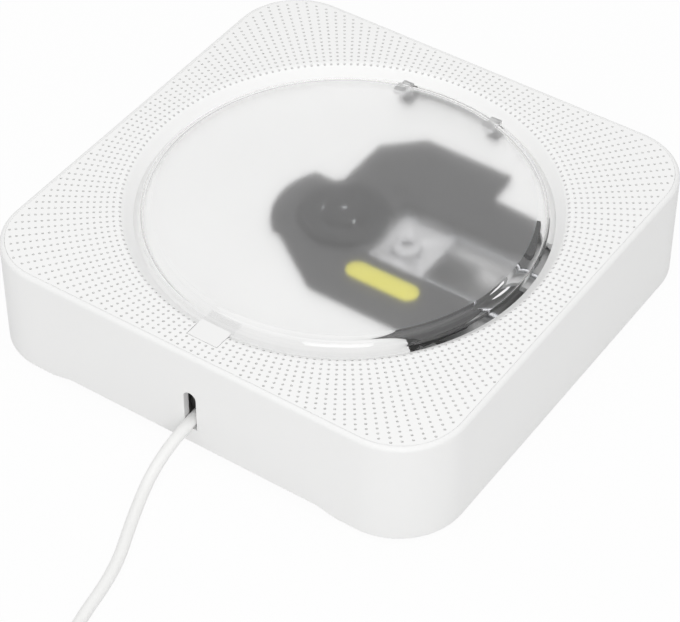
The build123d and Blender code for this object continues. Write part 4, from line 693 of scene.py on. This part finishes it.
# %% Sizes of the face
SPOKES = 200
RINGS = 18
SIDE_STEPS = 3                           # quads along each side of a cell
COLUMNS = SPOKES * SIDE_STEPS            # columns of all that joins the cells
FIRST_RING = 72.75 * MM
RING_STEP = 2.0833 * MM
FIRST_BORDER = FIRST_RING - RING_STEP / 2
PIT_RADIUS = 0.475 * MM
PIT_DEPTH = 0.48 * MM
PIT_MARGIN = 2.6 * MM                    # least distance of a pit's middle from the case's outline
CASE_HALF = case_high.x
CASE_CORNER = 23.5 * MM
spoke_angles = np.radians(np.arange(SPOKES) * 360.0 / SPOKES)
ring_radii = FIRST_RING + RING_STEP * np.arange(RINGS)
print("rings from %.1f to %.1f mm" % (ring_radii[0] / MM, ring_radii[-1] / MM))

# %% [markdown]
# Both the case and the panel end at a square with rounded corners.  Two things are asked of such
# an outline: how far inside it a point lies, which decides where a pit still fits, and how far out
# it is along an angle, which is where a cell that reaches past it is cut.

# %% The outline


def rounded_square_distance(x, y, half, corner):
    """Signed distance to a rounded square, negative inside: length of max(|p| - (half - corner), 0)
    plus the larger negative part, less the corner radius."""
    qx, qy = np.abs(x) - (half - corner), np.abs(y) - (half - corner)
    outside = np.hypot(np.maximum(qx, 0), np.maximum(qy, 0))
    return outside + np.minimum(np.maximum(qx, qy), 0) - corner


def outline_radius(angle, half, corner):
    """Distance from the middle to the rounded square along an angle.  Along a side it is
    half / cos; at a corner it is the far root of a line meeting the corner's circle."""
    c, s = np.abs(np.cos(angle)), np.abs(np.sin(angle))
    straight = half / np.maximum(c, s)
    centre = half - corner
    along = centre * (c + s)
    across = 2 * centre ** 2 - along ** 2
    round_end = along + np.sqrt(np.maximum(corner ** 2 - across, 0))
    at_corner = np.minimum(c, s) * straight > centre
    return np.where(at_corner, round_end, straight)


print("panel reaches %.2f mm at a corner" % (outline_radius(pi / 4, PANEL_HALF, PANEL_CORNER) / MM))

# %% [markdown]
# Towards the lid the face rolls over into the slope of the dish, so a height goes with every
# radius.  The roll-over is an eighth of a circle, which meets the flat and the slope smoothly.

# %% The height of the face
SHOULDER = 3.1 * MM                      # radius of the roll-over
SHOULDER_START = 73.8 * MM
ROLL = pi / 4                            # how far it rolls


def face_height(r):
    """Flat, then lower by shoulder - sqrt(shoulder ** 2 - run ** 2) on the roll-over, where run is
    how far r lies inside its start, then straight down to the dish's foot."""
    run = np.clip(SHOULDER_START - r, 0, SHOULDER * sin(ROLL))
    arc = SHOULDER - np.sqrt(SHOULDER ** 2 - run ** 2)
    arc_end = SHOULDER_START - SHOULDER * sin(ROLL)
    arc_drop = SHOULDER * (1 - cos(ROLL))
    slope = (FACE - arc_drop - DISH_FOOT) / (arc_end - WELL_RADIUS)
    return FACE - arc - np.maximum(arc_end - r, 0) * slope


print("height at the well %.2f mm" % (face_height(WELL_RADIUS) / MM))

# %% [markdown]
# The finger tab lies in a pocket of the face on the cord's side, where a few cells are left out.

# %% Where the pits are
POCKET_HALF = 5.85 * MM
POCKET_END = 77.9 * MM
POCKET_FLOOR = 38.5 * MM
POCKET_SPOKES = 2                        # spokes left out on each side of the tab's middle
POCKET_TURN = (POCKET_SPOKES + 0.5) * 360.0 / SPOKES     # degrees from its middle to its side
POCKET_BORDER = ring_radii[ring_radii < POCKET_END][-1] + RING_STEP / 2
TAB_SPOKE = 3 * SPOKES // 4

px = np.outer(ring_radii, np.cos(spoke_angles))
py = np.outer(ring_radii, np.sin(spoke_angles))
pit_here = rounded_square_distance(px, py, CASE_HALF, CASE_CORNER) < -PIT_MARGIN
near_tab = np.abs(np.arange(SPOKES) - TAB_SPOKE) <= POCKET_SPOKES
pit_here &= ~(near_tab[None, :] & (ring_radii < POCKET_END)[:, None])
print("pits", int(pit_here.sum()))

# %% [markdown]
# The cells that hold a pit come first.  Points are computed for all of them together, in arrays
# of cell by point.  A border point beyond the outline of the panel is pulled back onto it, and
# the border of the tab's pocket is straightened the same way.

# %% The cells
CLOSE = 1e-6                             # a thousandth of a millimetre
CLOSE_TURN = 1e-5                        # radians


def snap(r, angle):
    """Polar points to x and y = min(r, outline) * (cos, sin), with the pocket's edges straight."""
    r = np.minimum(r, outline_radius(angle, PANEL_HALF, PANEL_CORNER))
    x, y = r * np.cos(angle), r * np.sin(angle)
    off = np.abs(angle - 1.5 * pi)
    on_side = np.abs(off - radians(POCKET_TURN)) < CLOSE_TURN
    in_height = face_height(r) > POCKET_FLOOR - CLOSE
    x = np.where(on_side & in_height & (r < POCKET_BORDER + CLOSE), np.sign(x) * POCKET_HALF, x)
    on_end = (off < radians(POCKET_TURN) + CLOSE_TURN) & (np.abs(r - POCKET_BORDER) < CLOSE)
    return x, np.where(on_end, -POCKET_END, y)


def pit_cells():
    """Points, quads and floor marks of all cells with a pit.  With u round a cell's border, a
    border point is (r + outward(u), angle + across(u)), a rim point is the pit's middle plus its
    radius times (cos turn(u), sin turn(u)), and a foot point is a rim point moved down."""
    ring, spoke = np.nonzero(pit_here)
    t = np.linspace(-1, 1, SIDE_STEPS + 1)[:-1]
    flat = np.ones(SIDE_STEPS)
    across = np.concatenate([t, flat, -t, -flat])
    outward = np.concatenate([-flat, t, flat, -t])
    r = ring_radii[ring][:, None] + outward * RING_STEP / 2
    angle = spoke_angles[spoke][:, None] + across * pi / SPOKES
    x, y = snap(r, angle)
    border = np.stack([x, y, face_height(np.hypot(x, y))], -1)
    count = 4 * SIDE_STEPS
    cell_x, cell_y = px[ring, spoke][:, None], py[ring, spoke][:, None]
    turn = spoke_angles[spoke][:, None] + np.arctan2(across, outward)[None, :]
    rim_x, rim_y = cell_x + PIT_RADIUS * np.cos(turn), cell_y + PIT_RADIUS * np.sin(turn)
    rim_z = face_height(np.hypot(rim_x, rim_y))
    rim = np.stack([rim_x, rim_y, rim_z], -1)
    foot = np.stack([rim_x, rim_y, rim_z - PIT_DEPTH], -1)
    points = np.concatenate([border, rim, foot], 1)
    i = np.arange(count)
    k = (i + 1) % count
    rings = [np.stack([i + a, k + a, k + b, i + b], 1) for a, b in ((0, count), (count, 2 * count))]
    step = 2 * np.arange(count // 2 - 1)
    floor = 2 * count + np.stack([0 * step, step + 1, step + 2, step + 3], 1)
    one_cell = np.concatenate([*rings, floor])
    quads = one_cell[None] + (3 * count * np.arange(len(ring)))[:, None, None]
    is_floor = np.tile(np.arange(len(one_cell)) >= 2 * count, len(ring))
    return points.reshape(-1, 3), quads.reshape(-1, 4), is_floor


cell_points, cell_quads, pit_floors = pit_cells()
print("cell quads", len(cell_quads))

# %% [markdown]
# Between the last pit of each spoke and the panel's edge a strip closes the face.  It has three
# columns to a spoke, as the cells have, so that it meets them point for point.

# %% The margin
last_ring = np.where(pit_here.any(0), RINGS - 1 - pit_here[::-1].argmax(0), -1)
column_starts = np.radians((np.arange(COLUMNS) - SIDE_STEPS / 2) * 360.0 / COLUMNS)
column_angles = column_starts % (2 * pi)


def face_margin():
    """Quads from the last pit's border to the outline, and from there straight down to the lip's
    height; both ends of a quad's side lie on one column."""
    inner = np.repeat(ring_radii[last_ring] + RING_STEP / 2, SIDE_STEPS)
    rows = []
    for angle in (column_starts, column_starts + 2 * pi / COLUMNS):
        x0, y0 = snap(inner, angle % (2 * pi))
        far = outline_radius(angle, PANEL_HALF, PANEL_CORNER)
        x1, y1 = far * np.cos(angle), far * np.sin(angle)
        rows += [np.stack([x0, y0, FACE + 0 * x0], 1), np.stack([x1, y1, FACE + 0 * x0], 1),
                 np.stack([x1, y1, LIP_BOTTOM + 0 * x0], 1)]
    a0, b0, c0, a1, b1, c1 = rows
    top = np.stack([a0, b0, b1, a1], 1)
    wide = np.linalg.norm(b0 - a0, axis=1) + np.linalg.norm(b1 - a1, axis=1) > CLOSE / 10
    edge = np.stack([b0, c0, c1, b1], 1)
    return np.concatenate([top[wide], edge]).reshape(-1, 3)


margin = face_margin()
print("margin quads", len(margin) // 4)

# %% [markdown]
# Inside the first ring a lathe surface with the same columns carries the face down the slope and
# the upright lip.  It leaves out the quads over the pocket.

# %% The slope
SLOPE_ROWS = 9
LIP_FOOT = 1.5 * MM                      # width of the lip's foot


def ring_of_points(radius, height=None):
    """One row of the lathe, a point per column, at a height or else at the face's own."""
    x, y = snap(radius * np.ones(COLUMNS), column_angles)
    z = face_height(np.hypot(x, y)) if height is None else height
    return np.stack([x, y, z * np.ones(COLUMNS)], 1)


def dish_slope():
    """Rows of points = (r cos t, r sin t, height of the face at r), from the foot of the lip up to
    the first ring's border."""
    slope_radii = np.linspace(WELL_RADIUS, FIRST_BORDER, SLOPE_ROWS)
    at_pocket = np.interp(POCKET_FLOOR, face_height(slope_radii), slope_radii)
    slope_radii = np.sort(np.append(slope_radii, at_pocket))
    rows = [ring_of_points(radius, LIP_BOTTOM) for radius in (WELL_RADIUS + LIP_FOOT, WELL_RADIUS)]
    rows += [ring_of_points(radius) for radius in slope_radii]
    points = np.concatenate(rows)
    quads = grid_faces(len(rows), COLUMNS, wrap=True)[:, ::-1]
    middle = points[quads].mean(1)
    off = np.abs(np.arctan2(middle[:, 1], middle[:, 0]) + pi / 2)
    in_pocket = (off < radians(POCKET_TURN)) & (middle[:, 2] > POCKET_FLOOR)
    return points, quads[~in_pocket]


dish = dish_slope()
print("slope quads", len(dish[1]))

# %% [markdown]
# The pocket gets a flat floor, an end wall and two side walls.  Each is a strip between two lines
# of points, and the near edge of the floor is where the slope comes down to its height.

# %% The pocket
POCKET_COLUMNS = (2 * POCKET_SPOKES + 1) * SIDE_STEPS
SLOPE_END = 71.0 * MM                    # the slope has passed the floor's height by here
SEARCH_STEPS = 60
SIDE_WALL_STEPS = 10


def tab_pocket():
    """Quads of strips between a first and a second line: floor, end wall and both side walls."""
    t = np.radians(270 - POCKET_TURN + 360.0 / COLUMNS * np.arange(POCKET_COLUMNS + 1))
    search = np.linspace(WELL_RADIUS, SLOPE_END, SEARCH_STEPS)
    low = np.interp(POCKET_FLOOR, face_height(search), search)
    near = np.stack([low * np.cos(t), low * np.sin(t), POCKET_FLOOR + 0 * t], 1)
    near[0, 0], near[-1, 0] = -POCKET_HALF, POCKET_HALF
    x, y = snap(POCKET_BORDER + 0 * t, t)
    far = np.stack([x, y, POCKET_FLOOR + 0 * x], 1)
    strips = [(near, far), (far, far + (0, 0, FACE - POCKET_FLOOR))]
    radii = np.linspace(FIRST_BORDER, POCKET_BORDER, SIDE_WALL_STEPS)
    y_side = np.concatenate([[near[0, 1]], -np.sqrt(radii ** 2 - POCKET_HALF ** 2)[:-1], [-POCKET_END]])
    z_side = face_height(np.hypot(POCKET_HALF, y_side))
    for side in (-1, 1):
        top = np.stack([side * POCKET_HALF + 0 * y_side, y_side, z_side], 1)
        foot = top * (1, 1, 0) + (0, 0, POCKET_FLOOR)
        strips.append((top, foot) if side > 0 else (foot, top))
    quads = [np.stack([one[:-1], one[1:], two[1:], two[:-1]], 1) for one, two in strips]
    return np.concatenate(quads).reshape(-1, 3)


pocket = tab_pocket()
print("pocket quads", len(pocket) // 4)

# %% [markdown]
# All of it goes into one mesh, where the weld joins cells, margin, slope and pocket along their
# common borders.  The floors of the pits are coloured darker, a painted shade in place of the shade
# in the pits, so that the pits show as clearly from a distance as the real ones do.

# %% The face as one piece
FACE_CREASE = 32.0

face_points, face_quads = gather((cell_points, cell_quads), margin, dish, pocket)
face_slots = np.zeros(len(face_quads), int)
# the pits' floors take the painted shade
face_slots[:len(pit_floors)] = pit_floors
perforated_face = build("perforated_face", face_points, face_quads, [face_white, pit_painted_shade],
                        face_slots, "case", FACE_CREASE)
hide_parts("speaker_grille")
print("face quads", len(face_quads))

# %% [markdown]
# ## The lid
#
# One clear disc with a rounded edge and a short skirt.  A lathe profile gives it: out along the
# top, round the edge, down the skirt and back under.  It is a closed skin round real plastic, so
# the bending shader sees where the light goes in and where it comes out.

# %% The lid's profile
LID_ROUND = 3.8 * MM
LID_WALL = 2.0 * MM
SKIRT_WALL = 1.6 * MM
SKIRT_FOOT = FACE - 5.1 * MM
FOOT_ROUND = 0.25 * MM
FROST_RADIUS = 62.5 * MM
FROSTED_ROWS = 3
POLE = 0.0001 * MM            # so near the axis that the weld closes it


def lid_profile():
    """(r, z) from the middle of the top round to the middle of the underside: straight lines
    joined by arcs, the inner edge's arc about the same middle as the outer one's."""
    top = [(r, LID_TOP) for r in np.linspace(POLE, FROST_RADIUS, FROSTED_ROWS + 1)]
    arc = bend((LID_RADIUS - LID_ROUND, LID_TOP - LID_ROUND), LID_ROUND, 90, 0, 15)
    foot_z = SKIRT_FOOT + FOOT_ROUND
    foot = bend((LID_RADIUS - FOOT_ROUND, foot_z), FOOT_ROUND, 0, -90, 4)
    inner = LID_RADIUS - SKIRT_WALL
    foot_in = bend((inner + FOOT_ROUND, foot_z), FOOT_ROUND, -90, -180, 4)
    under = LID_TOP - LID_WALL
    hollow = LID_ROUND - LID_WALL
    inside = bend((inner - hollow, under - hollow), hollow, 0, 90, 9)
    return np.array([*top, *arc, *foot, *foot_in, *inside, (POLE, under)])


profile = lid_profile()
print("profile points", len(profile))

# %% [markdown]
# A small block beside the disc, in the same mesh, is the tongue that carries the finger tab.

# %% The tongue
TONGUE = 0.9 * MM
TONGUE_ROOT = 0.4 * MM + SKIRT_WALL - LID_RADIUS         # 0.4 mm past the skirt's inner wall


def block(low, high):
    """A box between two corners: point = low + (high - low) * the three bits of its number."""
    bits = (np.arange(8)[:, None] >> np.arange(3)) & 1
    points = np.array(low) + (np.array(high) - np.array(low)) * bits
    quads = [(0, 2, 3, 1), (4, 5, 7, 6), (0, 1, 5, 4), (2, 6, 7, 3), (0, 4, 6, 2), (1, 3, 7, 5)]
    return points, np.array(quads)


def lid_tongue():
    """The clear tongue: as wide as the tab, from the tab's far edge to inside the skirt."""
    tab_low, tab_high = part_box("lid_grip")
    return block((tab_low.x, tab_low.y, tab_low.z - TONGUE), (tab_high.x, TONGUE_ROOT, tab_low.z))


tongue = lid_tongue()
print("tongue from %.1f to %.1f mm" % (tongue[0][0, 1] / MM, tongue[0][-1, 1] / MM))

# %% [markdown]
# The disc takes its three finishes by rows of the lathe: frost on the flat top, bending clear
# plastic on the round edge and the underside, and the plain polished kind on the skirt.

# %% The lid as one piece
LID_COLUMNS = 360
LID_CREASE = 50.0
FROST, CLEAR, SKIRT = range(3)           # places in the list of finishes

lid_points, lid_quads = turned(profile, LID_COLUMNS)
row_finish = np.full(len(profile) - 1, CLEAR)
row_finish[:FROSTED_ROWS] = FROST
row_finish[np.minimum(profile[:-1, 1], profile[1:, 1]) < LID_TOP - LID_ROUND - CLOSE] = SKIRT
lid_slots = np.append(np.repeat(row_finish, LID_COLUMNS), np.full(len(tongue[1]), SKIRT))
all_points, all_quads = gather((lid_points, lid_quads[:, ::-1]), tongue)
lid = build("frosted_lid", all_points, all_quads, [lid_frost, lid_clear, lid_edge], lid_slots,
            "lid", LID_CREASE)
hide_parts("dust_cover")
print("lid quads", len(all_quads))

# %% [markdown]
# ## The cord
#
# The cord is one curve with a round bevel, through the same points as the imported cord.  It leaves
# the case by its slot, drops to the ground, runs off in a slack curve, and lies put away in a coil.

# %% Sizes of the cord
ROUTE = np.array([
    (0.6, -79.2, 12.2), (0.6, -90.5, 12.2), (-2.6, -102.5, 1.96), (4.6, -122.0, 1.96),
    (13.0, -141.0, 1.96), (16.4, -164.0, 1.96), (23.0, -186.0, 1.96), (25.2, -199.75, 1.96),
]) * MM
CORD_DIAMETER = 3.9 * MM
COIL_PITCH = 4.45 * MM
COIL_INNER = 11.8 * MM
COIL_TRACKS = 6
PLUG_RELIEF, PLUG_LENGTH, PLUG_THICKNESS = 20.0 * MM, 22.0 * MM, 7.6 * MM
print("run before the coil %.0f mm" % (np.linalg.norm(np.diff(ROUTE, axis=0), axis=1).sum() / MM))

# %% [markdown]
# The coil winds inwards on the ground, climbs, and winds out again on top.  Each half turn is a
# half circle between two places on the coil's middle line, so a short list of places gives it all.

# %% Where the coil runs
POINTS_IN_HALF_TURN = 9


def coil_places():
    """Places on the coil's middle line with the way it runs there: centre + or - out * radius,
    a pitch less for each turn of the lower layer, and a pitch more for each turn of the upper."""
    along = ROUTE[-1] - ROUTE[-2]
    along /= np.linalg.norm(along)
    out = np.array((along[1], -along[0], 0.0))
    widest = COIL_INNER + COIL_PITCH * (COIL_TRACKS - 1)
    centre = ROUTE[-1] + along * CORD_DIAMETER - out * widest
    lift = np.array((0, 0, COIL_PITCH))
    places = []
    for track in range(COIL_TRACKS):
        radius = widest - COIL_PITCH * track
        places += [(centre + out * radius, along), (centre - out * radius, -along)]
    for track in range(COIL_TRACKS - 1):
        near, far = COIL_INNER + COIL_PITCH * (track - 1), COIL_INNER + COIL_PITCH * (track + 1)
        places += [(centre + out * near + lift, along), (centre - out * far + lift, -along)]
    drop = (places[-1][0][2] - PLUG_THICKNESS / 2) / (CORD_DIAMETER + PLUG_RELIEF + PLUG_LENGTH)
    last = centre - out * (widest + COIL_PITCH) + lift
    places[-1] = (last, -along * sqrt(1 - drop * drop) - np.array((0, 0, drop)))
    return places


def coil_points():
    """Half circles: middle + half chord * cos t + way * half length * sin t."""
    places = coil_places()
    t = np.linspace(0, pi, POINTS_IN_HALF_TURN)[:-1, None]
    runs = []
    for (here, way), (there, _) in zip(places, places[1:]):
        middle, half = (here + there) / 2, (here - there) / 2
        runs.append(middle + half * np.cos(t) + way * np.linalg.norm(half) * np.sin(t))
    last, way = places[-1]
    runs.append(np.array([last, last + way * CORD_DIAMETER / 2, last + way * CORD_DIAMETER]))
    return np.concatenate(runs)


cord_points = np.concatenate([ROUTE, coil_points()])
print("cord points", len(cord_points))

# %% [markdown]
# A NURBS line smooths the corners of a route, so its points can stay few.  Filled caps close it.

# %% The cord's curve


def make_cord(points):
    """A NURBS line of order 3 through the run of points, as thick as the cord."""
    data = bpy.data.curves.new("soft_cord", "CURVE")
    data.dimensions = "3D"
    line = data.splines.new("NURBS")
    line.points.add(len(points) - 1)
    line.points.foreach_set("co", np.column_stack([points, np.ones(len(points))]).ravel())
    line.order_u = 3
    line.use_endpoint_u = True
    line.resolution_u = 8
    data.bevel_depth = CORD_DIAMETER / 2
    data.bevel_resolution = 5
    data.use_fill_caps = True
    data.materials.append(cord_white)
    soft = bpy.data.objects.new("soft_cord", data)
    bpy.context.scene.collection.objects.link(soft)
    return soft


soft_cord = make_cord(cord_points)
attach(soft_cord, "slider")
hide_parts("power_cord", "cord_coil")
print("cord", soft_cord.name)
